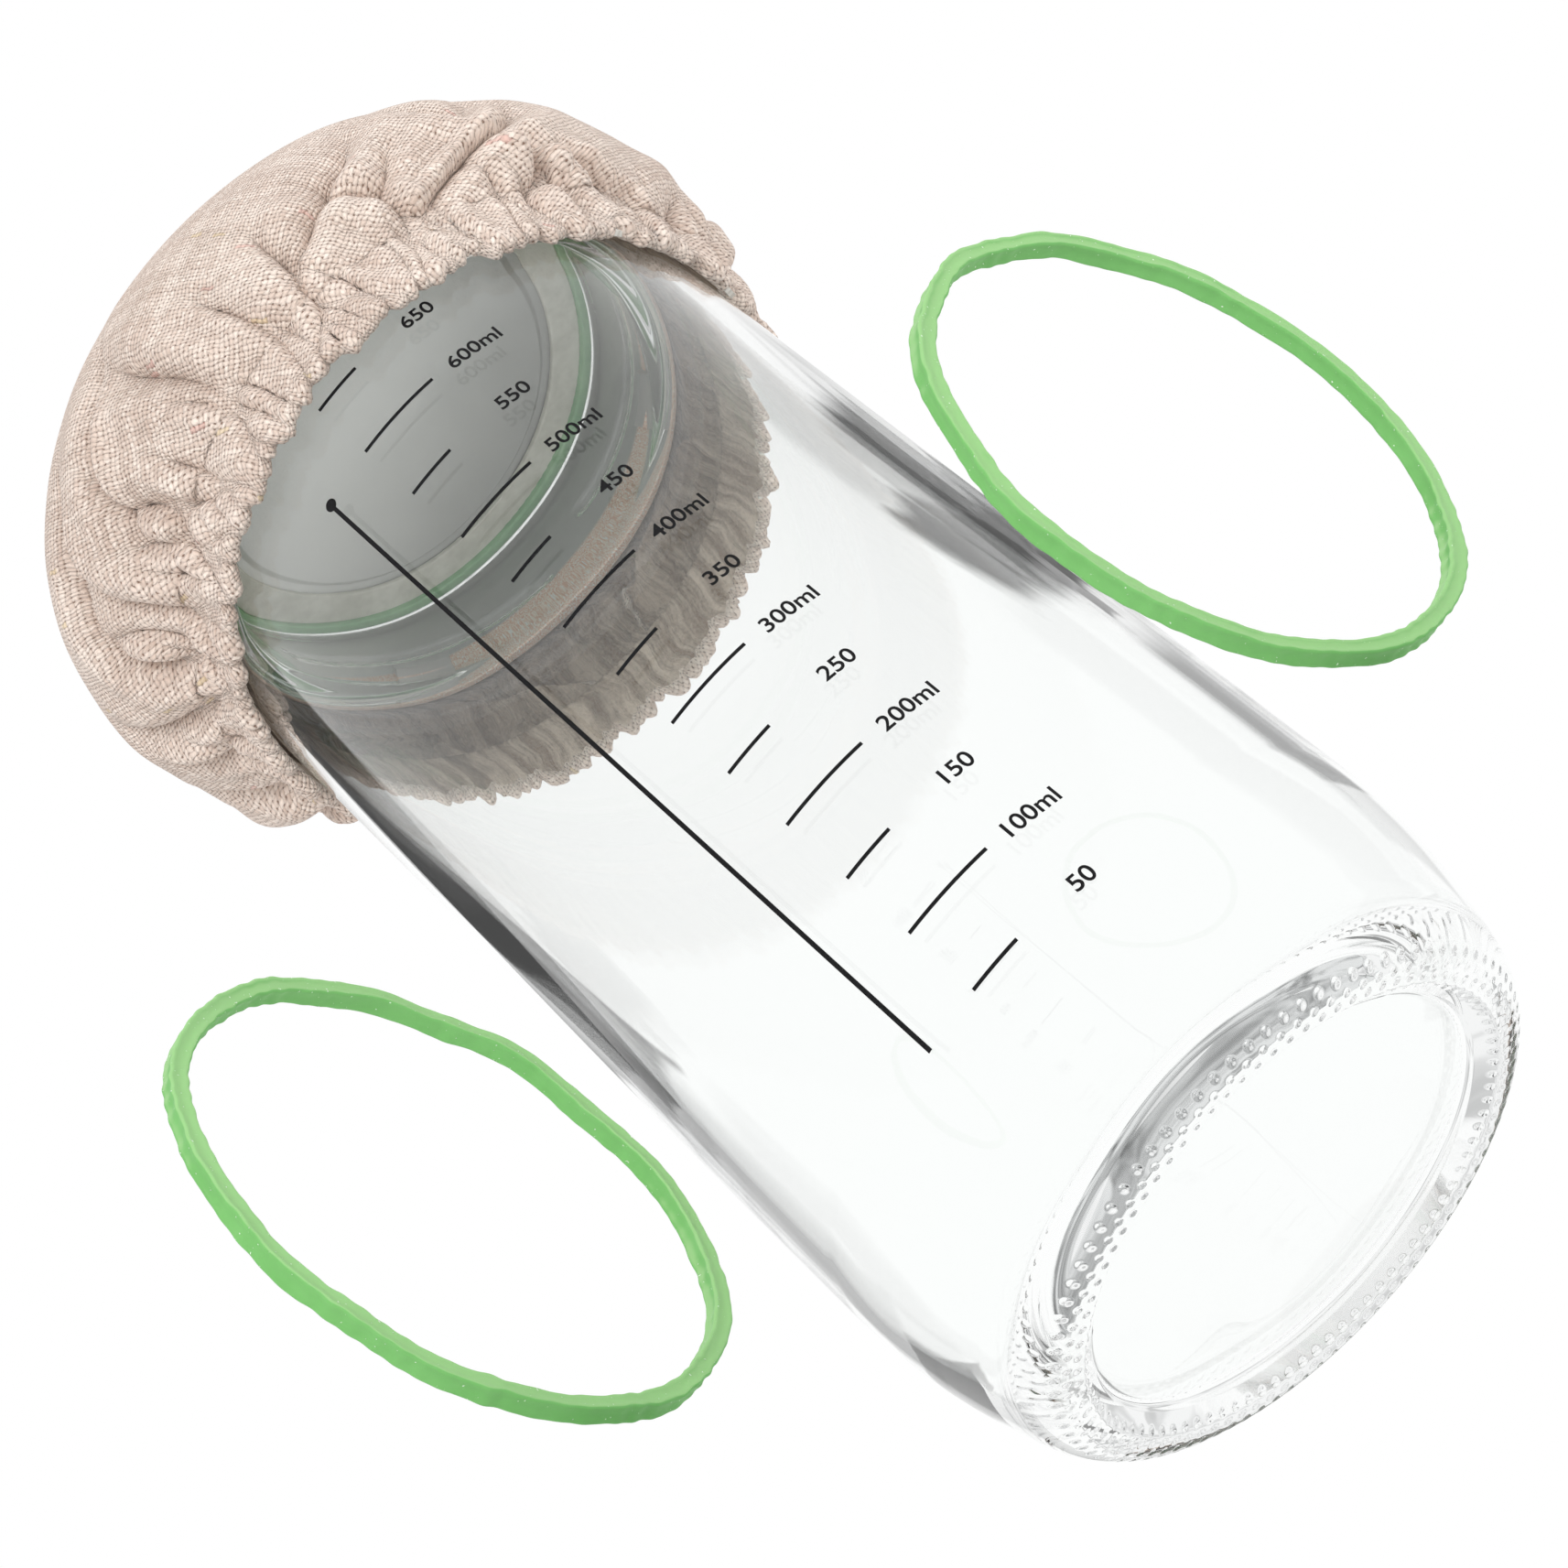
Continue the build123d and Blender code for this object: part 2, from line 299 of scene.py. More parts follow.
@dataclass(frozen=True)
class LinenFinish(Finish):
    """Coarse natural linen in plain weave, with uneven yarns and a few coloured flecks."""

    name: str = "linen"
    yarn: tuple = shown(248, 232, 220)
    yarn_dark: tuple = shown(215, 193, 179)
    gap: tuple = shown(132, 104, 88)
    rosy: tuple = shown(216, 156, 146)
    straw: tuple = shown(222, 196, 140)
    fleck_share: float = 0.0035
    fleck_strength: float = 0.45
    relief: float = 0.28
    drift: Grain = Grain(130.0, 3.0)
    drift_yarns: float = 3.4
    slub: Grain = Grain(620.0)
    slub_yarns: float = 1.3
    fuzz: Grain = Grain(2300.0, 3.0, 0.7)
    fuzz_yarns: float = 0.45
    blotch: Grain = Grain(70.0, 4.0, 0.6)
    plumpness: float = 0.6
    weft_offset: float = 311.5
    weft_stray: float = 0.8
    fleck_pitch: float = 0.3
    fleck_shift: float = 9.0
    under_share: float = 0.5
    closed_fuzz: float = 1.5
    closed_range: tuple = (0.05, 0.7)
    shade_range: tuple = (0.42, 1.12)
    # Weights of yarn tone, blotch, fuzz and slub in the shade, and of fuzz and slub in the relief.
    shade_weights: tuple = (0.4, 0.5, 0.35, 0.3)
    relief_weights: tuple = (0.6, 0.4)

    def weave(self, graph: Graph, layer: str, wander: Signal, fuzz: Signal) -> list[Signal]:
        """Plain weave on one set of coordinates that count yarns.

        Args:
            graph: the material's graph.
            layer: name of the coordinates.
            wander: how far the yarns stray, in yarns.
            fuzz: fine unevenness, about one half.

        Returns:
            Height of the yarns, random tone of each, how closed the weave is, and odd short lengths.
        """
        across, along = graph.split(graph.signal("ShaderNodeUVMap", {"uv_map": layer}))[:2]
        frayed = (fuzz - 0.5) * self.fuzz_yarns
        warp = across + wander + frayed
        weft = along - wander * self.weft_stray + frayed
        waves = [(yarn * math.pi).sine() for yarn in (warp, weft)]
        over = (waves[0] * waves[1]).above(0.0)
        rounds = [abs(wave) for wave in waves]
        under = self.under_share
        heights = [
            a ** self.plumpness * (b * under + (1 - under)) for a, b in (rounds, rounds[::-1])
        ]
        tones = [graph.scatter_number(n) for n in (warp.floor(), weft.floor() + self.weft_offset)]
        height, tone = [over * upper + (1 - over) * lower for upper, lower in (heights, tones)]
        cover = rounds[0].larger(rounds[1]) + (fuzz - 0.5) * self.closed_fuzz
        closed = cover.step(*self.closed_range)
        along_yarn = weft * self.fleck_pitch + tones[0] * self.fleck_shift
        length = graph.join(warp.floor(), along_yarn.floor())
        return [height, tone, closed, graph.scatter(length)]

    def surface(self, graph: Graph) -> Signal:
        """Weave of the side and of the crown, one fading into the other.

        Args:
            graph: the material's graph.

        Returns:
            The shader.
        """
        place = graph.place()
        drift, slub, fuzz, blotch = [
            graph.noise(place, grain) for grain in (self.drift, self.slub, self.fuzz, self.blotch)
        ]
        crown = graph.signal("ShaderNodeAttribute", {"attribute_name": "crown"}, output="Fac")
        wander = (drift - 0.5) * self.drift_yarns + (slub - 0.5) * self.slub_yarns
        side = self.weave(graph, "side_yarns", wander, fuzz)
        top = self.weave(graph, "crown_yarns", wander, fuzz)
        height, tone, closed, luck = [low + (high - low) * crown for low, high in zip(side, top)]
        by_tone, by_blotch, by_fuzz, by_slub = self.shade_weights
        shade = tone * by_tone + blotch * by_blotch + fuzz * by_fuzz + slub * by_slub
        yarn = graph.mix(shade.step(*self.shade_range), self.yarn_dark, self.yarn)
        cloth = graph.mix(closed, self.gap, yarn)
        rosy = luck.above(1 - self.fleck_share) * self.fleck_strength
        straw = (1 - luck.above(self.fleck_share)) * self.fleck_strength
        fuzz_rise, slub_rise = self.relief_weights
        rise = height * closed + fuzz * fuzz_rise + slub * slub_rise
        return graph.principled(
            base_color=graph.mix(straw, graph.mix(rosy, cloth, self.rosy), self.straw),
            roughness=0.92,
            sheen_weight=0.2,
            sheen_roughness=0.5,
            specular_ior_level=0.2,
            normal=graph.bump(rise, self.relief),
        )


@dataclass(frozen=True)
class LiningFinish(Finish):
    """Inner face of the gathered linen: frayed pleats that run up and down, with painted shade in their
    valleys and painted fold shadows.
    """

    name: str = "linen_inside"
    # Cloth as lit, cloth darkened as painted shade in the pleats' valleys, and painted fold shadow.
    light: tuple = shown(228, 209, 193)
    dark: tuple = shown(142, 117, 99)
    shadow: tuple = shown(94, 74, 60)
    relief: float = 0.5
    wander: Grain = Grain(90.0)
    wander_turn: float = 0.16
    # Pleats, and patches of painted fold shadow: waves round, climb, grain and range.
    pleats: tuple = (19.0, 45.0, Grain(1.0, 5.0, 0.66), (0.33, 0.66))
    patches: tuple = (5.0, 55.0, Grain(1.0, 3.0, 0.55), (0.58, 0.72))
    fold_shadow_strength: float = 0.6
    fuzz: Grain = Grain(1900.0, 3.0, 0.7)
    # Weights of pleats and fuzz in the painted shade of the pleats' valleys, what is taken off, and
    # fuzz's relief.
    pleat_shade_weights: tuple = (0.6, 0.8)
    pleat_shade_loss: float = 0.2
    fuzz_rise: float = 0.4

    def surface(self, graph: Graph) -> Signal:
        """Pleats with painted shade in their valleys, random tone from fuzz, and patches of painted
        fold shadow.

        Args:
            graph: the material's graph.

        Returns:
            The shader.
        """
        place = graph.place()
        x, y, z = graph.split(place)
        wander = (graph.noise(place, self.wander) - 0.5) * self.wander_turn
        bearing = graph.maths("ARCTAN2", x, y) + wander
        pleats, patches = [
            graph.noise(graph.join(bearing * waves, z * climb), grain).step(*limits)
            for waves, climb, grain, limits in (self.pleats, self.patches)
        ]
        fuzz = graph.noise(place, self.fuzz)
        # Painted shade in the pleats' valleys, with random tone from the fuzz.
        by_pleats, by_fuzz = self.pleat_shade_weights
        painted_shade = pleats * by_pleats + fuzz * by_fuzz - self.pleat_shade_loss
        cloth = graph.mix(painted_shade.step(0.0, 1.0), self.dark, self.light)
        # Patches of painted fold shadow darken the cloth.
        return graph.principled(
            base_color=graph.mix(patches * self.fold_shadow_strength, cloth, self.shadow),
            roughness=0.95,
            specular_ior_level=0.1,
            normal=graph.bump(pleats + fuzz * self.fuzz_rise, self.relief),
        )


@dataclass(frozen=True)
class ElasticFinish(Finish):
    """Knitted elastic: ribs along the strip with small loops."""

    name: str = "knitted_elastic"
    dark: tuple = shown(176, 168, 158)
    light: tuple = shown(240, 237, 230)
    rib: float = 0.7
    loop_waves: float = 180.0
    loop_climb: float = 2.0
    relief: float = 0.15

    def surface(self, graph: Graph) -> Signal:
        """Ribs crossed by loops.

        Args:
            graph: the material's graph.

        Returns:
            The shader.
        """
        x, y, z = graph.split(graph.place())
        ribs = abs((z * (math.pi / (self.rib * MM))).sine())
        climb = z * (self.loop_climb / MM)
        loops = abs((graph.maths("ARCTAN2", y, x) * self.loop_waves + climb).sine())
        knit = ribs ** 0.5 * (loops * 0.5 + 0.5)
        return graph.principled(
            base_color=graph.mix(knit, self.dark, self.light),
            roughness=0.8,
            normal=graph.bump(knit, self.relief),
        )


@dataclass(frozen=True)
class LidFinish(Finish):
    """Lid sheet: grey lacquer inside with painted shade to one side, rose gold with painted glints
    outside and on the curl.
    """

    name: str = "lid_metal"
    # Grey lacquer as lit, and the same lacquer darkened as painted shade.
    lacquer_lit_and_shaded: tuple = (shown(242, 243, 239), shown(176, 178, 174))
    rose: tuple = (shown(232, 184, 154), shown(255, 238, 222))
    glint: tuple = shown(255, 250, 244)
    skin_radii: tuple = (39.2, 39.4)
    curl_levels: tuple = (171.5, 170.9)
    curl_radii: tuple = (38.65, 38.8)
    top_levels: tuple = (181.2, 181.6)
    top_facing: tuple = (0.2, 0.4)
    # Painted shade on the lacquer: the way it darkens towards, where it starts and ends, and how far
    # cloud blurs its edge.
    shade_towards: tuple = (0.5, 0.9)
    shade_reach: tuple = (-14.0, 30.0)
    shade_blur: float = 12.0
    grain: Grain = Grain(4500.0)
    grain_range: tuple = (0.35, 0.65)
    cloud: Grain = Grain(60.0)
    cloud_rise: float = 0.2
    # Painted glints: white highlight specks on the gold.
    glint_specks: Grain = Grain(3600.0, 1.0)
    glint_speck_range: tuple = (0.6, 0.66)
    gold_metal: float = 0.15
    roughness: float = 0.42
    gold_polish: float = 0.12
    cloud_roughness: float = 0.1
    relief: float = 0.05

    def surface(self, graph: Graph) -> Signal:
        """Gold with painted glints where the sheet's outer face shows, else lacquer with painted shade
        that darkens it towards +X and +Y.

        Args:
            graph: the material's graph.

        Returns:
            The shader.
        """
        place = graph.place()
        x, y, z = [part * (1 / MM) for part in graph.split(place)]
        radius = (x * x + y * y) ** 0.5
        curl = z.step(*self.curl_levels) * radius.step(*self.curl_radii)
        upward = graph.split(graph.facing())[2]
        top = upward.step(*self.top_facing) * z.step(*self.top_levels)
        gold = radius.step(*self.skin_radii).larger(curl).larger(top)
        grain = graph.noise(place, self.grain)
        cloud = graph.noise(place, self.cloud)
        # Painted shade: the lacquer darkens towards +X and +Y.
        along, aside = self.shade_towards
        painted_shade = (x * along + y * aside + (cloud - 0.5) * self.shade_blur).step(*self.shade_reach)
        grey = graph.mix(painted_shade, *self.lacquer_lit_and_shaded)
        rose = graph.mix(grain.step(*self.grain_range), *self.rose)
        # Painted glints on the gold.
        glint_specks = graph.noise(place, self.glint_specks).step(*self.glint_speck_range) * gold
        polished = self.roughness - gold * self.gold_polish
        return graph.principled(
            base_color=graph.mix(glint_specks, graph.mix(gold, grey, rose), self.glint),
            metallic=gold * self.gold_metal,
            roughness=polished + (cloud - 0.5) * self.cloud_roughness,
            normal=graph.bump(grain * gold + cloud * self.cloud_rise, self.relief),
        )


@dataclass(frozen=True)
class RubberFinish(Finish):
    """Soft rubber or silicone with a little dust, small pits, and a side that may be lightened as
    painted light.
    """

    name: str
    body: tuple
    shade: tuple
    speck: float = 0.0
    bleed: float = 0.0
    # Lighter colour painted as light on faces turned one way, and that way.
    lit_side: tuple | None = None
    lit_side_towards: tuple = (0.7, -0.45, 0.55)
    roughness: float = 0.6
    dust_tint: tuple = shown(226, 244, 220)
    bleed_reach: tuple = (0.4, 1.0, 0.3)
    bleed_scale: float = 0.6
    cloud: Grain = Grain(140.0, 4.0, 0.6)
    streak: Grain = Grain(700.0, 3.0)
    dust: Grain = Grain(2600.0, 1.0)
    mottle_range: tuple = (0.3, 0.7)
    # Painted light: where it starts and ends, and how far cloud shifts it.
    painted_light_range: tuple = (0.25, 0.6)
    painted_light_cloud: float = 0.3
    dust_range: tuple = (0.73, 0.78)
    # Weights of cloud and streak in mottle and relief, and of streak and dust in roughness.
    mottle_weights: tuple = (0.7, 0.3)
    relief_weights: tuple = (0.4, 0.6)
    rough_weights: tuple = (0.15, 0.3)
    relief: float = 0.06

    def surface(self, graph: Graph) -> Signal:
        """Clouded colour with a painted lit side and specks of dust.

        Args:
            graph: the material's graph.

        Returns:
            The shader.
        """
        place = graph.place()
        cloud = graph.noise(place, self.cloud)
        streak = graph.noise(place, self.streak)
        by_cloud, by_streak = self.mottle_weights
        mottle = (cloud * by_cloud + streak * by_streak).step(*self.mottle_range)
        colour = graph.mix(mottle, self.shade, self.body)
        # Painted light: faces turned that way get the lighter colour.
        if self.lit_side is not None:
            towards = graph.vector(
                "DOT_PRODUCT", graph.facing(), self.lit_side_towards, output="Value"
            )
            painted_light = (towards + (cloud - 0.5) * self.painted_light_cloud).step(*self.painted_light_range)
            colour = graph.mix(painted_light, colour, self.lit_side)
        dust = graph.noise(place, self.dust).step(*self.dust_range) * self.speck
        streak_rough, dust_rough = self.rough_weights
        cloud_rise, streak_rise = self.relief_weights
        return graph.principled(
            base_color=graph.mix(dust, colour, self.dust_tint),
            roughness=self.roughness + (streak - 0.5) * streak_rough + dust * dust_rough,
            subsurface_weight=self.bleed,
            subsurface_radius=self.bleed_reach,
            subsurface_scale=self.bleed_scale * MM,
            normal=graph.bump(streak * streak_rise + cloud * cloud_rise + dust, self.relief),
        )


@dataclass(frozen=True)
class InkFinish(Finish):
    """Fired ceramic ink with a slightly uneven gloss."""

    name: str = "scale_ink"
    black: tuple = shown(8, 8, 9)
    grey: tuple = shown(26, 26, 28)
    grain: Grain = Grain(3000.0, 3.0)
    grain_range: tuple = (0.3, 0.75)
    cloud: Grain = Grain(500.0)
    cloud_roughness: float = 0.3
    roughness: float = 0.45

    def surface(self, graph: Graph) -> Signal:
        """Grainy black.

        Args:
            graph: the material's graph.

        Returns:
            The shader.
        """
        place = graph.place()
        grain = graph.noise(place, self.grain).step(*self.grain_range)
        cloud = graph.noise(place, self.cloud)
        return graph.principled(
            base_color=graph.mix(grain, self.black, self.grey),
            roughness=cloud * self.cloud_roughness + self.roughness,
            specular_ior_level=0.15,
        )


@dataclass(frozen=True)
class FloorFinish(Finish):
    """Pale matt floor that is white to glass, half white to the camera, and clear from below."""

    name: str = "pale_floor"
    low: tuple = (0.90, 0.90, 0.90, 1.0)
    high: tuple = (0.93, 0.93, 0.93, 1.0)
    camera_glow: float = 0.5
    cloud: Grain = Grain(1.5)

    def surface(self, graph: Graph) -> Signal:
        """Matt, white or clear by the kind of ray and the side that it meets.

        Args:
            graph: the material's graph.

        Returns:
            The shader.
        """
        cloud = graph.noise(graph.place(), self.cloud)
        matt = graph.principled(base_color=graph.mix(cloud, self.low, self.high), roughness=0.9)
        white = graph.signal("ShaderNodeEmission", inputs={"Color": WHITE, "Strength": 1.0})
        pale = graph.glassy().larger(graph.ray("Is Camera Ray") * self.camera_glow)
        below = graph.signal("ShaderNodeNewGeometry", output="Backfacing")
        clear = graph.signal("ShaderNodeBsdfTransparent")
        return graph.blend(below, graph.blend(pale, matt, white), clear)


# Meshes and sections


def added(name: str, data: bpy.types.ID) -> bpy.types.Object:
    """Puts a new object in the scene.

    Args:
        name: its name.
        data: its mesh, lamp, camera or text.

    Returns:
        The object.
    """
    piece = bpy.data.objects.new(name, data)
    bpy.context.scene.collection.objects.link(piece)
    return piece


def mesh_piece(name: str, points: Array, faces: list, material: Material) -> bpy.types.Object:
    """Makes a smooth mesh object.

    Args:
        name: the piece's name.
        points: its points in millimetres.
        faces: its faces as point numbers.
        material: its finish.

    Returns:
        The object.
    """
    mesh = bpy.data.meshes.new(name)
    mesh.from_pydata((points * MM).tolist(), [], faces)
    mesh.shade_smooth()
    mesh.materials.append(material)
    return added(name, mesh)


def dress(node: str, finish: Material) -> None:
    """Gives a CAD node its finish.

    Args:
        node: the node's name.
        finish: the material.
    """
    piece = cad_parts[node]
    piece.data.materials.clear()
    piece.data.materials.append(finish)
    LOG.info("%s: CAD node in %s", node, finish.name)


def grid_rings(rows: int, columns: int) -> list[range]:
    """Point numbers of each ring in a grid of points."""
    return [range(row * columns, (row + 1) * columns) for row in range(rows)]


def ring_faces(first: range, second: range) -> list:
    """Faces between two rings of points, of which one may be three times as dense.

    Args:
        first: point numbers of one ring.
        second: point numbers of the other.

    Returns:
        Faces that all turn the same way.
    """
    count = len(first)
    if count > len(second):
        return [face[::-1] for face in ring_faces(second, first)]
    faces = []
    for k in range(count):
        here, after = first[k], first[(k + 1) % count]
        if count == len(second):
            faces.append((here, after, second[(k + 1) % count], second[k]))
            continue
        lace = [second[(3 * k + step) % len(second)] for step in range(4)]
        faces += [(here, lace[1], lace[0]), (here, after, lace[1])]
        faces += [(after, lace[2], lace[1]), (after, lace[3], lace[2])]
    return faces


def sheet_faces(rings: list[range]) -> list:
    """Faces between each ring and the next."""
    return [face for pair in zip(rings, rings[1:]) for face in ring_faces(*pair)]


def around(count: int) -> Array:
    """Even angles of a full turn, in radians."""
    return np.arange(count) * 2 * math.pi / count


def turned_place(radius: Array, angle: Array, level: Array) -> Array:
    """Points from radii, angles in radians from the printed side, and heights."""
    radius, angle, level = np.broadcast_arrays(radius, angle, level)
    return np.stack([radius * np.sin(angle), -radius * np.cos(angle), level], -1)


def eased(value: Array, low: float, high: float) -> Array:
    """Smooth climb from zero at low to one at high."""
    share = np.clip((np.asarray(value, float) - low) / (high - low), 0, 1)
    return share * share * (3 - 2 * share)


def wrapped(angle: Array) -> Array:
    """Angles in radians brought between minus and plus half a turn."""
    return (angle + math.pi) % (2 * math.pi) - math.pi


def straight(start: tuple, end: tuple, steps: int) -> Array:
    """Points of a straight run, both ends included."""
    return np.linspace(start, end, steps + 1)


def rounded(centre: tuple, radius: float, start: float, end: float, steps: int) -> Array:
    """Points of a circular arc between two angles."""
    angle = np.radians(np.linspace(start, end, steps + 1))
    return np.stack([centre[0] + radius * np.cos(angle), centre[1] + radius * np.sin(angle)], 1)


def tangent_arc(start: tuple, end: tuple, heading: tuple, steps: int) -> Array:
    """Points of the arc that leaves start in a given direction and ends at end.

    Args:
        start: first point.
        end: last point.
        heading: direction at the start, of length one.
        steps: number of chords.

    Returns:
        The points, both ends included.
    """
    chord = complex(end[0] - start[0], end[1] - start[1])
    towards = complex(*heading)
    bend = np.angle(chord / towards)
    share = np.linspace(0, 1, steps + 1)
    reach = abs(chord) * np.sin(bend * share) / math.sin(bend)
    points = complex(*start) + reach * towards * np.exp(1j * bend * share)
    return np.stack([points.real, points.imag], 1)


def last_heading(points: Array) -> Array:
    """Direction of a run's last chord, of length one."""
    chord = points[-1] - points[-2]
    return chord / np.hypot(*chord)


def outward(section: Array) -> Array:
    """Directions of length one to the right of a section's run."""
    ahead = np.gradient(section, axis=0)
    return np.stack([ahead[:, 1], -ahead[:, 0]], 1) / np.hypot(*ahead.T)[:, None]


class Outline:
    """Section that grows run by run and remembers which of its rings are dense."""

    def __init__(self, start: tuple) -> None:
        """Starts at a point of (radius, height)."""
        self.points = [start]
        self.dense = [False]

    def follow(self, points: Array, dense: bool = False) -> None:
        """Adds a run that begins where the outline ends."""
        self.points += [tuple(point) for point in points[1:]]
        self.dense += [dense] * (len(points) - 1)

    def line(self, radius: float, level: float, steps: int, dense: bool = False) -> None:
        """Adds a straight run to a radius and height."""
        self.follow(straight(self.points[-1], (radius, level), steps), dense)


# Pieces of the jar


@dataclass
class GlassJar:
    """The turned jar with its recessed stippled base, threaded neck and slightly uneven walls."""

    radius: float = 41.75
    bore: float = 38.85
    rim_level: float = 180.0
    floor_level: float = 7.0
    inner_heel_radius: float = 34.65
    inner_heel_level: float = 11.0
    hub: float = 0.6
    pane_level: float = 2.4
    pane_end: float = 27.3
    pane_margin: float = 1.0
    slope_start: tuple = (28.4, 1.72)
    slope_end: tuple = (30.6, 0.08)
    bearing_inner: float = 30.8
    bearing_outer: float = 33.2
    foot_radius: float = 37.1
    foot_level: float = 4.0
    heel_level: float = 31.0
    shoulder_level: float = 157.5
    neck_level: float = 166.1
    neck: float = 37.0
    mouth: float = 34.0
    lip: float = 1.1
    lip_steps: int = 6
    curve_share: float = 0.62
    thread_level: float = 170.6
    thread_lead: float = 16.0
    thread_depth: float = 1.2
    thread_sweep: float = 78.0
    thread_fade: float = 5.0
    thread_flank: tuple = (0.3, 1.1)
    thread_starts: int = 4
    stipple_radii: tuple = (30.3, 31.75, 33.2, 34.65)
    stipple_count: int = 89
    stipple_depth: float = 0.22
    stipple_reach: float = 0.62
    stipple_power: float = 1.5
    stipple_inner: float = 28.1
    stipple_top: float = 2.2
    # Waves of the inner wall, and more of them near the floor: size, count, climb and phase.
    wall_waves: tuple = ((0.10, 2, 0.045, 0.0), (0.05, 5, -0.06, 1.0))
    floor_waves: tuple = ((0.16, 3, 0.0, 2.0), (0.10, 7, 0.0, 0.5))
    floor_wave_levels: tuple = (9.0, 23.0)
    wave_radii: tuple = (8.0, 30.0)
    columns: int = 480
    dense: int = 3

    def s_curve(self, foot: tuple, head: tuple, steps: int = 12) -> Array:
        """Two arcs, upright at both ends.

        Args:
            foot: lower point.
            head: upper point.
            steps: chords in each arc.

        Returns:
            The points from foot to head.
        """
        middle = tuple(a + (b - a) * self.curve_share for a, b in zip(foot, head))
        lower = tangent_arc(foot, middle, (0, 1), steps)
        upper = tangent_arc(head, middle, (0, -1), steps)
        return np.vstack([lower, upper[::-1][1:]])

    def outline(self) -> Outline:
        """Section of the glass from the base's centre, round outside, to the floor's centre.

        Returns:
            Its points of (radius, height), and which rings are dense.
        """
        lip_level = self.rim_level - self.lip
        foot_point = (self.foot_radius, self.foot_level)
        heel = tangent_arc((self.radius, self.heel_level), foot_point, (0, -1), 40)
        foot = tangent_arc(tuple(heel[-1]), (self.bearing_outer, 0.0), last_heading(heel), 34)
        inner_point = (self.inner_heel_radius, self.inner_heel_level)
        inner_heel = tangent_arc((self.bore, self.heel_level), inner_point, (0, -1), 30)
        leaning = last_heading(inner_heel)
        reach = (self.inner_heel_level - self.floor_level) / (1 + leaning[0]) * leaning[1]
        floor_point = (self.inner_heel_radius + reach, self.floor_level)

        path = Outline((self.hub, self.pane_level))
        path.line(self.pane_end - self.pane_margin, self.pane_level, 30)
        path.line(self.pane_end, self.pane_level, 3)
        path.follow(tangent_arc(path.points[-1], self.slope_start, (1, 0), 5))
        path.line(*self.slope_end, 16, dense=True)
        path.line(self.bearing_inner, 0.0, 1, dense=True)
        path.line(self.bearing_outer, 0.0, 14, dense=True)
        path.follow(foot[::-1], dense=True)
        path.follow(heel[::-1])
        path.line(self.radius, self.shoulder_level, 48)
        path.follow(self.s_curve(path.points[-1], (self.neck, self.neck_level)))
        path.line(self.neck, lip_level, 52)
        path.follow(rounded((self.neck - self.lip, lip_level), self.lip, 0, 90, self.lip_steps))
        path.follow(rounded((self.mouth + self.lip, lip_level), self.lip, 90, 180, self.lip_steps))
        path.line(self.mouth, self.neck_level, 6)
        path.follow(self.s_curve((self.bore, self.shoulder_level), path.points[-1])[::-1])
        path.line(self.bore, self.heel_level, 42)
        path.follow(inner_heel)
        path.follow(tangent_arc(tuple(inner_heel[-1]), floor_point, leaning, 30))
        path.line(self.hub, self.floor_level, 24)
        return path

    def thread_rise(self, angle: Array, level: float) -> Array:
        """Height of the thread over the neck.

        Args:
            angle: angles round the jar in radians.
            level: height above the base.

        Returns:
            Millimetres outward.
        """
        rise = np.zeros_like(angle)
        for start in range(self.thread_starts):
            turned = np.degrees(wrapped(angle - math.pi / 2)) - start * 360 / self.thread_starts
            turned %= 360
            away = np.abs(level - self.thread_level - turned * self.thread_lead / 360)
            end = eased(turned, self.thread_sweep - self.thread_fade, self.thread_sweep)
            whole = eased(turned, 0, self.thread_fade) * (1 - end)
            ridge = (1 - eased(away, *self.thread_flank)) * whole * self.thread_depth
            rise = np.maximum(rise, ridge)
        return rise

    def stipple(self, angle: Array, radius: float) -> Array:
        """Depth of the dimples under the base.

        Args:
            angle: angles round the jar in radians.
            radius: distance from the axis.

        Returns:
            Millimetres inward.
        """
        depth = np.zeros_like(angle)
        pitch = 2 * math.pi / self.stipple_count
        for row, centre in enumerate(self.stipple_radii):
            phase = (angle / pitch + 0.5 * (row % 2)) % 1 - 0.5
            away = np.hypot(phase * pitch * centre, radius - centre) / self.stipple_reach
            depth = np.maximum(depth, np.clip(1 - away ** 2, 0, 1) ** self.stipple_power)
        return depth * self.stipple_depth

    @staticmethod
    def waves(table: tuple, angle: Array, level: float) -> Array:
        """Sum of the waves in a table of size, count, climb and phase."""
        return sum(size * np.sin(n * angle + climb * level + phase) for size, n, climb, phase in table)

    def ring(self, radius: float, level: float, normal: tuple, count: int, side: Side) -> Array:
        """One ring of points with the jar's thread, dimples and unevenness.

        Args:
            radius: distance from the axis.
            level: height above the base.
            normal: outward direction of the section there.
            count: points round.
            side: the face of the glass that it lies on.

        Returns:
            The points.
        """
        angle = around(count)
        push = np.zeros(count)
        if side is Side.OUTER and self.neck_level < level < self.rim_level - self.lip:
            push += self.thread_rise(angle, level)
        if side is Side.OUTER and level < self.stipple_top and radius > self.stipple_inner:
            push -= self.stipple(angle, radius)
        if side is Side.INNER and level < self.shoulder_level:
            near_floor = 1 - eased(level, *self.floor_wave_levels)
            wave = self.waves(self.wall_waves, angle, level)
            wave = wave + self.waves(self.floor_waves, angle, level) * near_floor
            push += wave * eased(radius, *self.wave_radii)
        return turned_place(radius + push * normal[0], angle, level + push * normal[1])

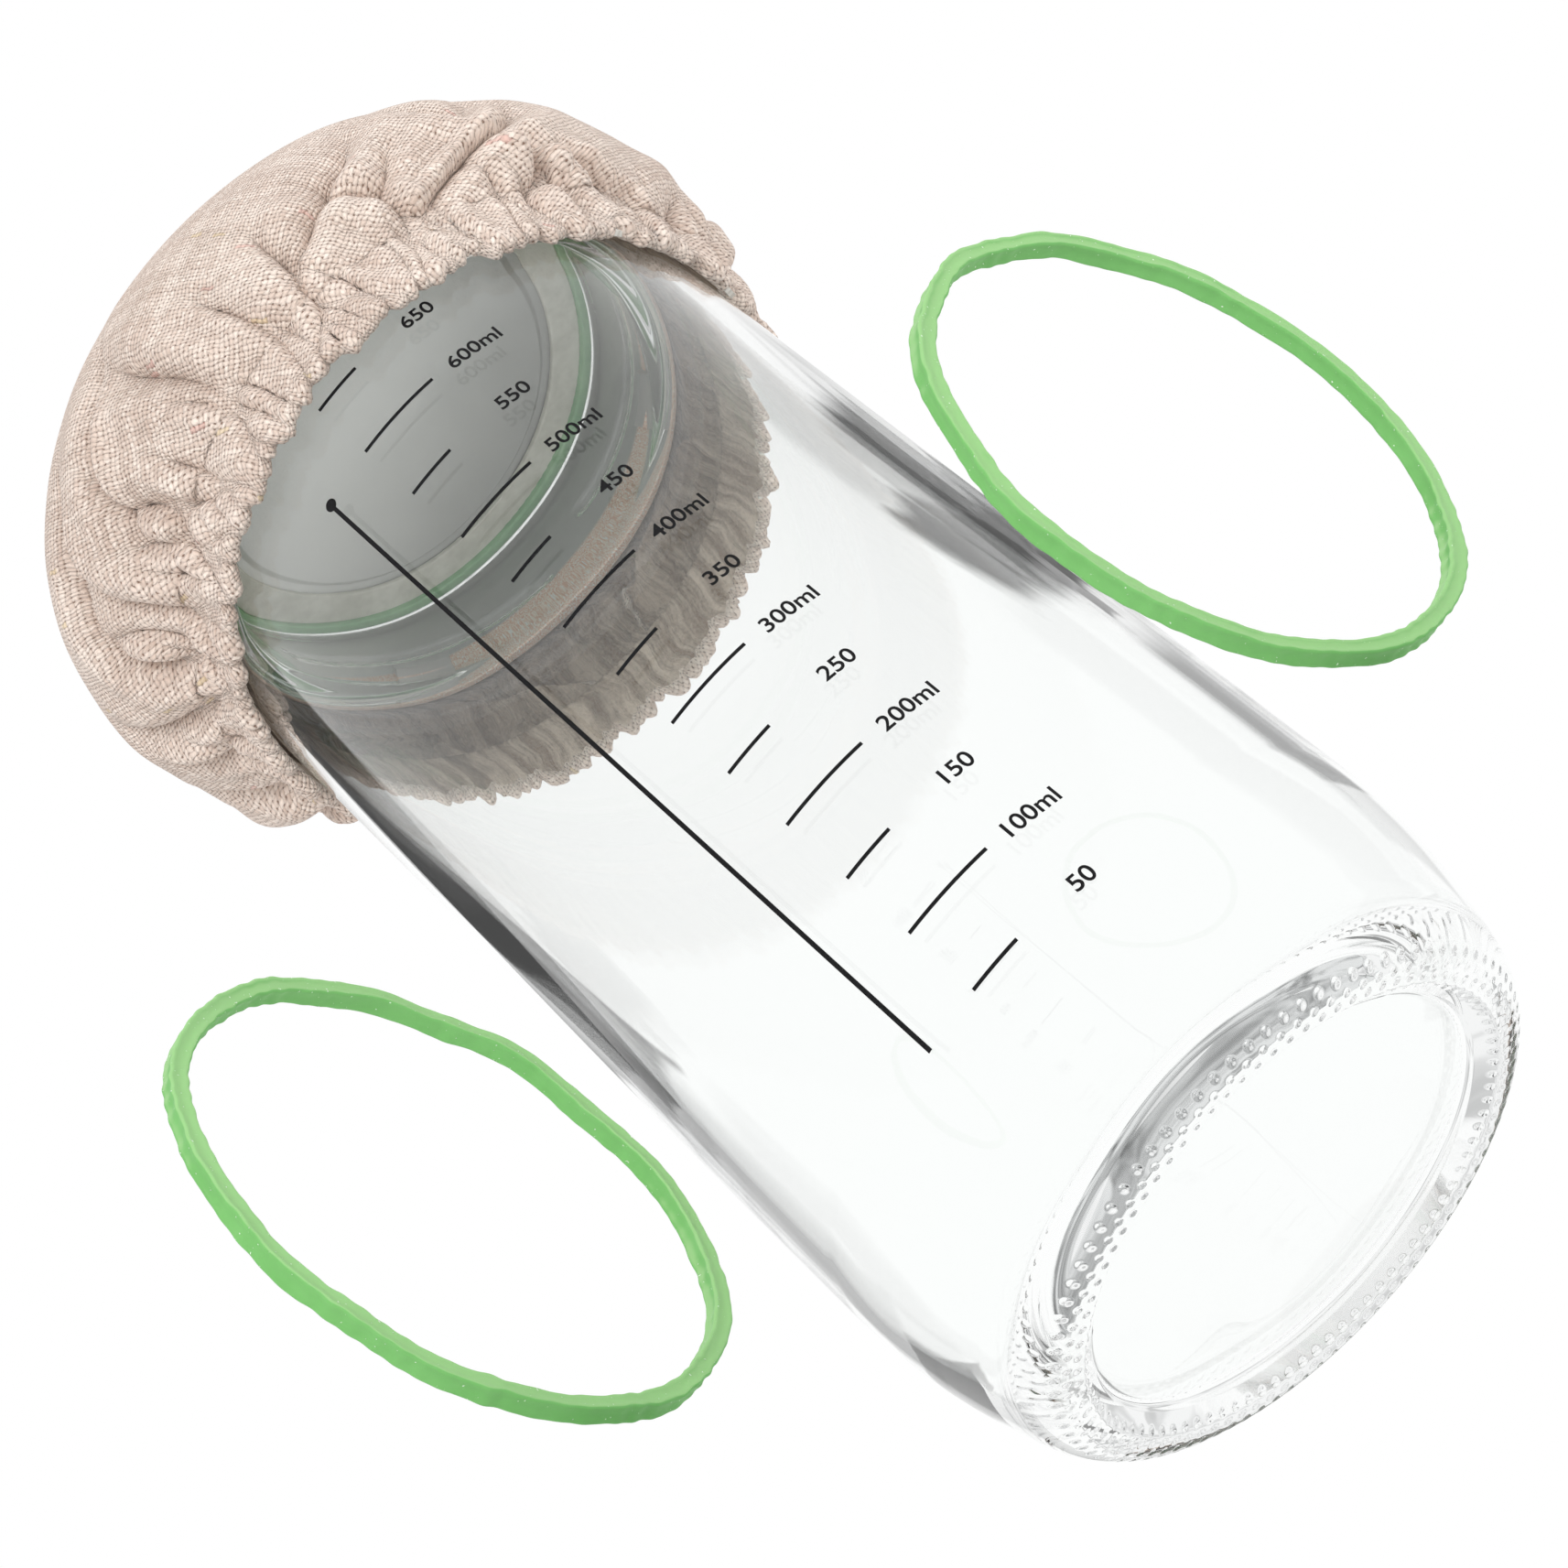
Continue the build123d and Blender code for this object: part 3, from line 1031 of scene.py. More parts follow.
    def build(self) -> None:
        """Makes the jar's mesh and puts it in the CAD jar's place."""
        path = self.outline()
        section = np.array(path.points)
        top = int(np.argmax(section[:, 1] > self.rim_level - self.lip)) + self.lip_steps
        points = [np.array([[0.0, 0.0, self.pane_level]])]
        rings = []
        total = 1
        for row, ((radius, level), normal) in enumerate(zip(section, outward(section))):
            count = self.columns * (self.dense if path.dense[row] else 1)
            side = Side.INNER if row > top else Side.OUTER
            points.append(self.ring(radius, level, tuple(normal), count, side))
            rings.append(range(total, total + count))
            total += count
        points.append(np.array([[0.0, 0.0, self.floor_level]]))
        faces = sheet_faces(rings)
        faces += [(0, rings[0][(k + 1) % self.columns], rings[0][k]) for k in range(self.columns)]
        faces += [(rings[-1][k], rings[-1][(k + 1) % self.columns], total) for k in range(self.columns)]
        piece = mesh_piece("glass_jar", np.vstack(points), faces, GlassFinish().material())
        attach(piece, "jar")
        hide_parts("jar_body")
        LOG.info("glass_jar: %d points in %d rings", total + 1, len(rings))


@dataclass
class PrintedScale:
    """Marks, line and dot of the CAD model, and the numbers beside the marks."""

    radius: float = 41.77
    zero_level: float = 14.27
    mark_step: float = 10.549
    mark_count: int = 13
    step_volume: int = 50
    number_start: float = 10.35
    digit_height: float = 2.25
    boldness: float = 0.012
    thickness: float = 0.05

    def letters(self, words: str) -> tuple[Array, list]:
        """Flat mesh of some words.

        Args:
            words: what it says.

        Returns:
            Its points and its faces.
        """
        curve = bpy.data.curves.new("number", "FONT")
        curve.body = words
        curve.size = 1.0
        curve.offset = self.boldness
        source = added("number", curve)
        graph = bpy.context.evaluated_depsgraph_get()
        mesh = bpy.data.meshes.new_from_object(source.evaluated_get(graph))
        bpy.data.objects.remove(source)
        bpy.data.curves.remove(curve)
        flat = np.array([vertex.co for vertex in mesh.vertices])
        faces = [tuple(face.vertices) for face in mesh.polygons]
        bpy.data.meshes.remove(mesh)
        return flat, faces

    def number(self, index: int, ink: Material) -> None:
        """Wraps the number beside one mark round the glass.

        Args:
            index: the mark's number, from one.
            ink: the material.
        """
        volume = index * self.step_volume
        flat, faces = self.letters(f"{volume}ml" if index % 2 == 0 else f"{volume}")
        digit = flat[:, 1].max()
        scale = self.digit_height / digit
        along = (flat[:, 0] - flat[:, 0].min()) * scale
        level = self.zero_level + self.mark_step * index + (flat[:, 1] - digit / 2) * scale
        angle = (self.number_start + along) / self.radius
        front = turned_place(self.radius + self.thickness, angle, level)
        back = turned_place(self.radius, angle, level)
        count = len(flat)
        edges = dict.fromkeys(edge for face in faces for edge in zip(face, face[1:] + face[:1]))
        rims = [edge for edge in edges if edge[::-1] not in edges]
        solid = faces + [tuple(count + k for k in face[::-1]) for face in faces]
        solid += [(b, a, count + a, count + b) for a, b in rims]
        piece = mesh_piece(f"label_{volume:03d}", np.vstack([front, back]), solid, ink)
        piece.data.shade_flat()
        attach(piece, "jar")

    def build(self) -> None:
        """Dresses the CAD print and adds the numbers."""
        ink = InkFinish().material()
        indices = range(1, self.mark_count + 1)
        marks = [f"mark_{index * self.step_volume:03d}" for index in indices]
        for node in ["feed_line", "feed_dot"] + marks:
            dress(node, ink)
        for index in indices:
            self.number(index, ink)
        LOG.info("labels: %d numbers", self.mark_count)


@dataclass
class Lid:
    """Metal lid with its two-coloured seal, all in the CAD model's own shapes."""

    metal: Finish = LidFinish()
    green: Finish = RubberFinish("seal_green", shown(158, 202, 158), shown(128, 182, 132))
    cream: Finish = RubberFinish("seal_cream", shown(232, 232, 220), shown(206, 206, 192))

    def build(self) -> None:
        """Dresses the lid's three nodes."""
        dress("lid_shell", self.metal.material())
        dress("lid_gasket", self.green.material())
        dress("lid_liner", self.cream.material())


@dataclass
class Crease:
    """One valley in the gathered cloth, from the hem upwards."""

    angle: float
    slant: float
    length: float
    depth: float
    width: float
    sway: float
    skew: float
    sway_waves: float = 9.0
    widening: float = 1.4
    ridge: float = 0.38
    ridge_loss: float = 0.7
    ridge_out: tuple = (0.25, 0.6)
    ridge_place: float = 2.2
    ridge_spread: float = 1.3
    valley_power: float = 1.25
    below_hem: float = 0.1
    # Shares of the crease's length at which it is deepest and from which it fades.
    deepest_share: float = 0.45
    fading_share: float = 0.5
    pinch: float = 0.6

    def push(self, height: Array, radius: Array, angle: Array) -> tuple[Array, Array]:
        """How the valley and the ridges beside it move the cloth.

        Args:
            height: height of each row as a share of the cover's.
            radius: distance of each row from the axis.
            angle: angles of the columns.

        Returns:
            Millimetres outward, and millimetres round towards growing angle.
        """
        sway = self.sway * np.sin(height * self.sway_waves + self.angle)
        away = wrapped(angle - (self.angle + self.slant * height + sway)) * radius
        fade = 1 - eased(height, self.length * self.fading_share, self.length)
        grown = eased(height, -self.below_hem, self.length * self.deepest_share)
        depth = self.depth * grown * fade
        width = self.width * (1 + self.widening * height) * (1 + self.skew * np.sign(away))
        near = np.abs(away) / width
        ridge = self.ridge * (1 - self.ridge_loss * eased(height, *self.ridge_out))
        swell = np.exp(-((near - self.ridge_place) ** 2) / self.ridge_spread)
        out = ridge * depth * swell - depth * np.exp(-near ** self.valley_power)
        return out, -np.sign(away) * depth * self.pinch * near * np.exp(-near)


@dataclass(frozen=True)
class CreaseKind:
    """Creases alike in size: how many, and the ranges that each is drawn from."""

    count: int
    slant: float
    lengths: tuple
    depths: tuple
    widths: tuple
    sway: float
    skew: float = 0.45

    def drawn(self, draw: np.random.Generator, angle: float) -> Crease:
        """One crease of this kind at an angle.

        Args:
            draw: the seeded source of chance.
            angle: where it meets the hem.

        Returns:
            The crease.
        """
        return Crease(
            angle=angle,
            slant=draw.uniform(-self.slant, self.slant),
            length=draw.uniform(*self.lengths),
            depth=draw.uniform(*self.depths),
            width=draw.uniform(*self.widths),
            sway=draw.uniform(-self.sway, self.sway),
            skew=draw.uniform(-self.skew, self.skew),
        )


@dataclass
class LinenCover:
    """Puffed cap of linen, gathered by the elastic in its hem."""

    hem_level: float = 147.5
    hem_tilt: float = 5.8
    side_tilt: float = 1.5
    top_level: float = 204.3
    belly_level: float = 172.6
    belly_radius: float = 50.6
    puff: float = 2.22
    narrowing: float = 2.1
    dome_start: float = 2.0
    dome_rows: int = 62
    side_rows: int = 42
    casing_rows: int = 16
    lean: float = 3.2
    oval: float = 0.033
    casing_radius: float = 44.15
    casing_top: float = 9.2
    casing_foot: float = 1.1
    lining_radius: float = 42.42
    lining_top: float = 9.6
    lining_rows: int = 14
    lining_drop: float = 0.25
    turn_rows: int = 8
    cloth: float = 0.45
    yarn_pitch: float = 0.54
    side_yarns: tuple = (458, 320)
    crown_reach: float = 50.0
    crown_fade: float = 4.0
    columns: int = 720
    seed: int = 7
    fine: CreaseKind = CreaseKind(96, 0.25, (0.20, 0.34), (1.2, 2.1), (0.45, 0.75), 0.05)
    middle: CreaseKind = CreaseKind(33, 0.6, (0.34, 0.54), (2.4, 3.9), (0.9, 1.5), 0.10)
    long: CreaseKind = CreaseKind(17, 0.95, (0.52, 0.78), (3.2, 5.4), (1.2, 2.2), 0.18)
    fine_stray: float = 0.3
    pick_range: tuple = (0.05, 0.95)
    lump_waves: range = range(3, 26)
    lump_size: float = 0.15
    lump_slope: float = 6.0
    lump_beats: float = 7.0
    lump_phase: float = 6.0
    lump_strengths: tuple = (0.4, 1.0)
    hem_waves: tuple = ((23, 0.6), (37, 0.6), (11, 0.45), (61, 0.5), (131, 0.3))
    hem_wave_share: float = 0.8
    hem_reach: tuple = (0.5, 3.2)
    pucker: float = 0.12
    pucker_sway: tuple = (5, 1.4)
    fray: float = 0.42
    slack: float = 0.22
    slack_slope: float = 0.5
    slack_start: float = 0.6
    still_radius: float = 8.0
    peak_rise: float = 0.02
    calm_share: float = 0.3
    calm_reach: tuple = (4.0, 14.0)
    # Shares of the cover's height over which each change of form fades in or out.
    lumps_in: tuple = (0.1, 0.3)
    lumps_out: tuple = (0.35, 0.75)
    oval_in: tuple = (0.05, 0.4)
    lean_in: tuple = (0.08, 0.45)
    tilt_out: tuple = (0.18, 1.0)

    def meridian(self) -> Array:
        """Section of the smooth cap from its top down, round the hem and up inside.

        Returns:
            Points of (radius, height).
        """
        turn = np.radians(np.linspace(self.dome_start, 90.0, self.dome_rows))
        power = 2 / self.puff
        dome_radius = self.belly_radius * np.sin(turn) ** power
        dome_rise = (self.top_level - self.belly_level) * np.cos(turn).clip(0) ** power
        casing_level = self.hem_level + self.casing_top
        drop = np.linspace(0, 1, self.side_rows)[1:]
        inset = (self.belly_radius - self.casing_radius) * drop ** self.narrowing
        side_level = self.belly_level + (casing_level - self.belly_level) * drop
        half = (self.casing_radius - self.lining_radius) / 2
        foot = self.hem_level + half + self.lining_drop
        casing_foot = (self.casing_radius, self.hem_level + self.casing_foot)
        lining_top = (self.lining_radius, self.hem_level + self.lining_top)
        return np.vstack([
            np.stack([dome_radius, self.belly_level + dome_rise], 1),
            np.stack([self.belly_radius - inset, side_level], 1),
            straight((self.casing_radius, casing_level), casing_foot, self.casing_rows)[1:],
            rounded((self.casing_radius - half, foot), half, 0, -180, self.turn_rows)[1:],
            straight((self.lining_radius, foot), lining_top, self.lining_rows)[1:],
        ])

    def creases(self, draw: np.random.Generator) -> list[Crease]:
        """Valleys of the cloth: short ones all round the hem and longer ones among them.

        Args:
            draw: the seeded source of chance.

        Returns:
            The valleys.
        """
        count = self.fine.count
        step = 2 * math.pi / count
        stray = self.fine_stray
        angles = [(k + draw.uniform(-stray, stray)) * step for k in range(count)]
        found = [self.fine.drawn(draw, angle) for angle in angles]
        for kind in (self.middle, self.long):
            for k in range(kind.count):
                pick = int((k + draw.uniform(*self.pick_range)) * count / kind.count)
                found.append(kind.drawn(draw, angles[pick % count]))
        return found

    def folded(self, height: Array, radius: Array, angle: Array) -> tuple[Array, Array]:
        """How far the folds push every point of the outer cloth.

        Args:
            height: height of each row as a share of the cover's.
            radius: distance of each row from the axis.
            angle: angles of the columns.

        Returns:
            Millimetres outward, and millimetres round towards growing angle.
        """
        draw = np.random.default_rng(self.seed)
        out, round_by, lumps = np.zeros((3, len(height), len(angle)))
        for crease in self.creases(draw):
            outward_by, sideways = crease.push(height, radius, angle)
            out += outward_by
            round_by += sideways
        for waves in self.lump_waves:
            phase = draw.uniform(0, 2 * math.pi)
            slope = draw.uniform(-self.lump_slope, self.lump_slope)
            beats = draw.uniform(0, self.lump_beats)
            beat = np.cos(height * beats + draw.uniform(0, self.lump_phase))
            wave = np.sin(waves * angle + phase + slope * height)
            lumps += wave * beat * draw.uniform(*self.lump_strengths)
        lumps *= eased(height, *self.lumps_in) * (1 - eased(height, *self.lumps_out))
        out += self.lump_size * lumps
        return out - out.mean(1, keepdims=True), round_by

    def hem_edge(self, level: Array, angle: Array) -> Array:
        """Rise and fall of the hem's uneven edge.

        Args:
            level: height of each row.
            angle: angles of the columns.

        Returns:
            Millimetres upward for every point.
        """
        draw = np.random.default_rng(self.seed + 1)
        sway_waves, sway = self.pucker_sway
        swayed = angle * self.fine.count + sway * np.sin(sway_waves * angle)
        edge = self.pucker * np.cos(swayed)
        for waves, size in self.hem_waves:
            edge += size * np.sin(angle * waves + draw.uniform(0, 2 * math.pi))
        fray = draw.uniform(-1, 1, len(angle))
        fray = self.fray * (fray + np.roll(fray, 1)) / 2
        at_hem = 1 - eased(np.abs(level - self.hem_level), *self.hem_reach)
        return at_hem * (self.hem_wave_share * edge + fray)

    def shaped(self, section: Array, angle: Array, lining: Array) -> Array:
        """Places every point of the sheet.

        Args:
            section: the smooth cap's points of (radius, height).
            angle: angles of the columns.
            lining: share of lining in each row.

        Returns:
            A grid of points.
        """
        radius, level = section.T[..., None]
        free = 1 - lining[:, None]
        height = (level - self.hem_level) / (self.top_level - self.hem_level)
        out, round_by = self.folded(height, radius, angle)
        calm = 1 - eased(level - self.hem_level, *self.calm_reach)
        lift = out * ((1 - self.calm_share * calm) * free)
        above = np.maximum(level - self.hem_level - self.casing_top - self.slack_start, 0)
        lift = np.maximum(lift, -self.slack - self.slack_slope * above)
        across, upward = -outward(section).T[..., None]
        turned = angle + round_by * free / np.maximum(radius, self.still_radius)
        rise = lift * upward + self.hem_edge(level, angle)
        points = turned_place(radius + lift * across, turned, level + rise)
        oval = self.oval * eased(height, *self.oval_in)
        points[..., 0] *= 1 + oval
        points[..., 1] *= 1 - oval
        points[..., 0] -= self.lean * eased(height, *self.lean_in)
        low = 1 - eased(height, *self.tilt_out)
        hem_slope, side_slope = np.tan(np.radians([self.hem_tilt, self.side_tilt]))
        points[..., 2] -= points[..., 1] * hem_slope * low
        points[..., 2] += (points[..., 0] + self.lining_radius) * side_slope * low
        return points

    def lay_yarns(self, piece: bpy.types.Object, reach: Array, angle: Array) -> None:
        """Counts yarns for the weave: on the bias round the side, and straight over the crown.

        Args:
            piece: the sheet.
            reach: each row's distance from the peak along the cloth.
            angle: angles of the columns.
        """
        rows, columns = len(reach), len(angle)
        corners = np.zeros(len(piece.data.loops), np.int32)
        piece.data.loops.foreach_get("vertex_index", corners)
        row, column = corners // columns, corners % columns
        at_peak = row >= rows
        run = reach[np.minimum(row, rows - 1)] / self.yarn_pitch
        turned = (angle[column] / (2 * math.pi) + 0.5) % 1.0
        sizes = np.array([polygon.loop_total for polygon in piece.data.polygons])
        starts = np.concatenate([[0], np.cumsum(sizes)[:-1]])
        spread = np.maximum.reduceat(turned, starts) - np.minimum.reduceat(turned, starts)
        turned = turned + (np.repeat(spread > 0.5, sizes) & (turned < 0.5))
        first, second = self.side_yarns
        whole = math.hypot(first, second)
        side = [turned * first - run * second / whole, turned * second + run * first / whole]
        flat = run * np.where(at_peak, 0.0, 1.0)
        crown = [flat * np.cos(angle[column]), flat * np.sin(angle[column])]
        for name, spots in (("side_yarns", side), ("crown_yarns", crown)):
            layer = piece.data.uv_layers.new(name=name)
            layer.data.foreach_set("uv", np.stack(spots, 1).ravel())

    def mark_crown(self, piece: bpy.types.Object, reach: Array) -> None:
        """Stores how far each point belongs to the crown's weave.

        Args:
            piece: the sheet.
            reach: each row's distance from the peak along the cloth.
        """
        low, high = self.crown_reach - self.crown_fade, self.crown_reach + self.crown_fade
        share = 1 - eased(reach, low, high)
        crown = piece.data.attributes.new("crown", "FLOAT", "POINT")
        crown.data.foreach_set("value", np.append(np.repeat(share, self.columns), share[0]))

    def line_inside(self, piece: bpy.types.Object, first: int, last: int) -> None:
        """Gives the faces that reach into the lining's rows the lining's finish.

        Args:
            piece: the sheet.
            first: number of the lining's first point.
            last: number after its last point.
        """
        piece.data.materials.append(LiningFinish().material())
        for polygon in piece.data.polygons:
            if first <= max(polygon.vertices) < last:
                polygon.material_index = Side.INNER.value

    def build(self) -> None:
        """Makes the sheet and dresses the elastic in its hem."""
        section = self.meridian()
        angle = around(self.columns)
        rows = len(section)
        lining = np.zeros(rows)
        hidden = self.lining_rows + self.turn_rows
        lining[-hidden:] = eased(np.arange(hidden), 0, self.turn_rows - 1)
        points = self.shaped(section, angle, lining)
        peak = np.array([[-self.lean, 0.0, points[0, :, 2].mean() + self.peak_rise]])
        grid = np.vstack([points.reshape(-1, 3), peak])
        last = rows * self.columns
        faces = []
        rings = grid_rings(rows, self.columns)
        for upper, lower in zip(rings, rings[1:]):
            faces += ring_faces(lower, upper)
        faces += [(k, (k + 1) % self.columns, last) for k in range(self.columns)]
        piece = mesh_piece("linen_cover", grid, faces, LinenFinish().material())
        self.line_inside(piece, last - self.lining_rows * self.columns, last)
        reach = np.append(0, np.cumsum(np.hypot(*np.diff(section, axis=0).T))) + section[0, 0]
        self.lay_yarns(piece, reach, angle)
        self.mark_crown(piece, reach)
        thick = piece.modifiers.new("thickness", "SOLIDIFY")
        thick.thickness = self.cloth * MM
        thick.offset = 0.0
        thick.material_offset = Side.INNER.value
        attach(piece, "cover")
        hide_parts("cover_cloth")
        dress("cover_elastic", ElasticFinish().material())


@dataclass
class LevelBand:
    """One loose silicone band, standing on its edge."""

    name: str
    centre: tuple
    turn: float
    lean: float
    seed: int
    radius: float = 29.25
    width: float = 2.15
    thickness: float = 1.95
    rounding: float = 0.28
    rounding_steps: int = 4
    hollow: float = 0.16
    face_steps: int = 6
    columns: int = 540
    # Seeded waves round the band: fewest and most to a turn, and size in millimetres or as a share.
    drift: tuple = (3, 14, 0.22)
    swell: tuple = (4, 40, 0.06)
    twist: tuple = (2, 7, 0.14)
    nicks: tuple = (20, 90, 0.09)
    wave_strengths: tuple = (0.3, 1.0)

    def section(self) -> Array:
        """Closed section of the band: a square with small rounds and slightly hollow faces.

        Returns:
            Points of (across, upward).
        """
        corners = [(1, 1, 0), (-1, 1, 90), (-1, -1, 180), (1, -1, 270)]
        half_thick, half_wide = self.thickness / 2 - self.rounding, self.width / 2 - self.rounding
        arcs = []
        for a, b, start in corners:
            centre = (a * half_thick, b * half_wide)
            arcs.append(rounded(centre, self.rounding, start, start + 90, self.rounding_steps))
        dip = self.hollow * np.sin(np.linspace(0, math.pi, self.face_steps + 1))[1:-1]
        runs = []
        for arc, following in zip(arcs, arcs[1:] + arcs[:1]):
            face = straight(tuple(arc[-1]), tuple(following[0]), self.face_steps)[1:-1]
            middle = (arc[-1] + following[0]) / 2
            runs += [arc, face - dip[:, None] * middle / np.hypot(*middle)]
        return np.vstack(runs)

    def wander(self, draw: np.random.Generator, angle: Array, waves: tuple) -> Array:
        """Smooth seeded wave round the band.

        Args:
            draw: the seeded source of chance.
            angle: angles of the columns.
            waves: fewest and most waves to a turn, and their size.

        Returns:
            One value for each angle.
        """
        low, high, size = waves
        total = np.zeros_like(angle)
        for count in range(low, high):
            wave = np.sin(count * angle + draw.uniform(0, 2 * math.pi))
            total += wave * draw.uniform(*self.wave_strengths)
        return size * total / math.sqrt(high - low)

    def build(self, silicone: Material) -> None:
        """Makes the band in the CAD band's place.

        Args:
            silicone: its finish.
        """
        draw = np.random.default_rng(self.seed)
        angle = around(self.columns)
        kinds = (self.drift, self.drift, self.swell, self.swell, self.twist, self.nicks)
        drift, sway, thick, wide, twist, nicks = [self.wander(draw, angle, kind) for kind in kinds]
        section = self.section()
        across, upward = section.T[..., None]
        across = across * (1 + thick) + np.sign(across) * nicks
        upward = upward * (1 + wide)
        reach = self.radius + across * np.cos(twist) - upward * np.sin(twist) + drift
        rise = across * np.sin(twist) + upward * np.cos(twist) + sway
        local = np.stack([reach * np.cos(angle), reach * np.sin(angle), rise], -1).reshape(-1, 3)
        tilt = Matrix.Rotation(math.radians(90 - self.lean), 3, "Y")
        place = np.array(Matrix.Rotation(math.radians(self.turn), 3, "Z") @ tilt)
        points = local @ place.T + np.array(self.centre)
        rings = grid_rings(len(section), self.columns)
        faces = sheet_faces(rings + rings[:1])
        piece = mesh_piece(f"{self.name}_silicone", points, faces, silicone)
        piece.visible_glossy = False
        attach(piece, self.name)
        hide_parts(self.name)
        LOG.info("%s: %d points", piece.name, len(points))


# Room, lamps and camera


@dataclass(frozen=True)
class DarkCard:
    """Dark part of the room that glass and gloss show, between two bearings and two rises."""

    bearings: tuple
    rises: tuple
    softness: float
    depth: float
    slant: float = 0.0

    def patch(self, bearing: Signal, rise: Signal) -> Signal:
        """How dark each direction is.

        Args:
            bearing: direction round the jar in degrees.
            rise: its rise in degrees.

        Returns:
            A share from zero to the card's depth.
        """
        (left, right), (low, high) = self.bearings, self.rises
        round_by = bearing - (rise - (low + high) / 2) * self.slant
        soft, thin = self.softness, self.softness / 3
        sides = round_by.step(left - soft, left) * round_by.step(right + soft, right)
        return sides * (rise.step(low - thin, low) * rise.step(high + thin, high)) * self.depth


@dataclass(frozen=True)
class Lamp:
    """Soft square lamp that faces the jar's middle and doesn't show in the glass."""

    name: str
    place: tuple
    size: float
    power: float
    aim: tuple = (0, 0, 110)

    def build(self) -> None:
        """Makes the lamp, with its power in watts."""
        data = bpy.data.lights.new(self.name, "AREA")
        data.size = self.size * MM
        data.energy = self.power
        piece = added(self.name, data)
        piece.location = Vector(self.place) * MM
        towards = Vector(self.aim) * MM - piece.location
        piece.rotation_euler = towards.to_track_quat("-Z", "Y").to_euler()
        piece.visible_transmission = False
        piece.visible_glossy = False


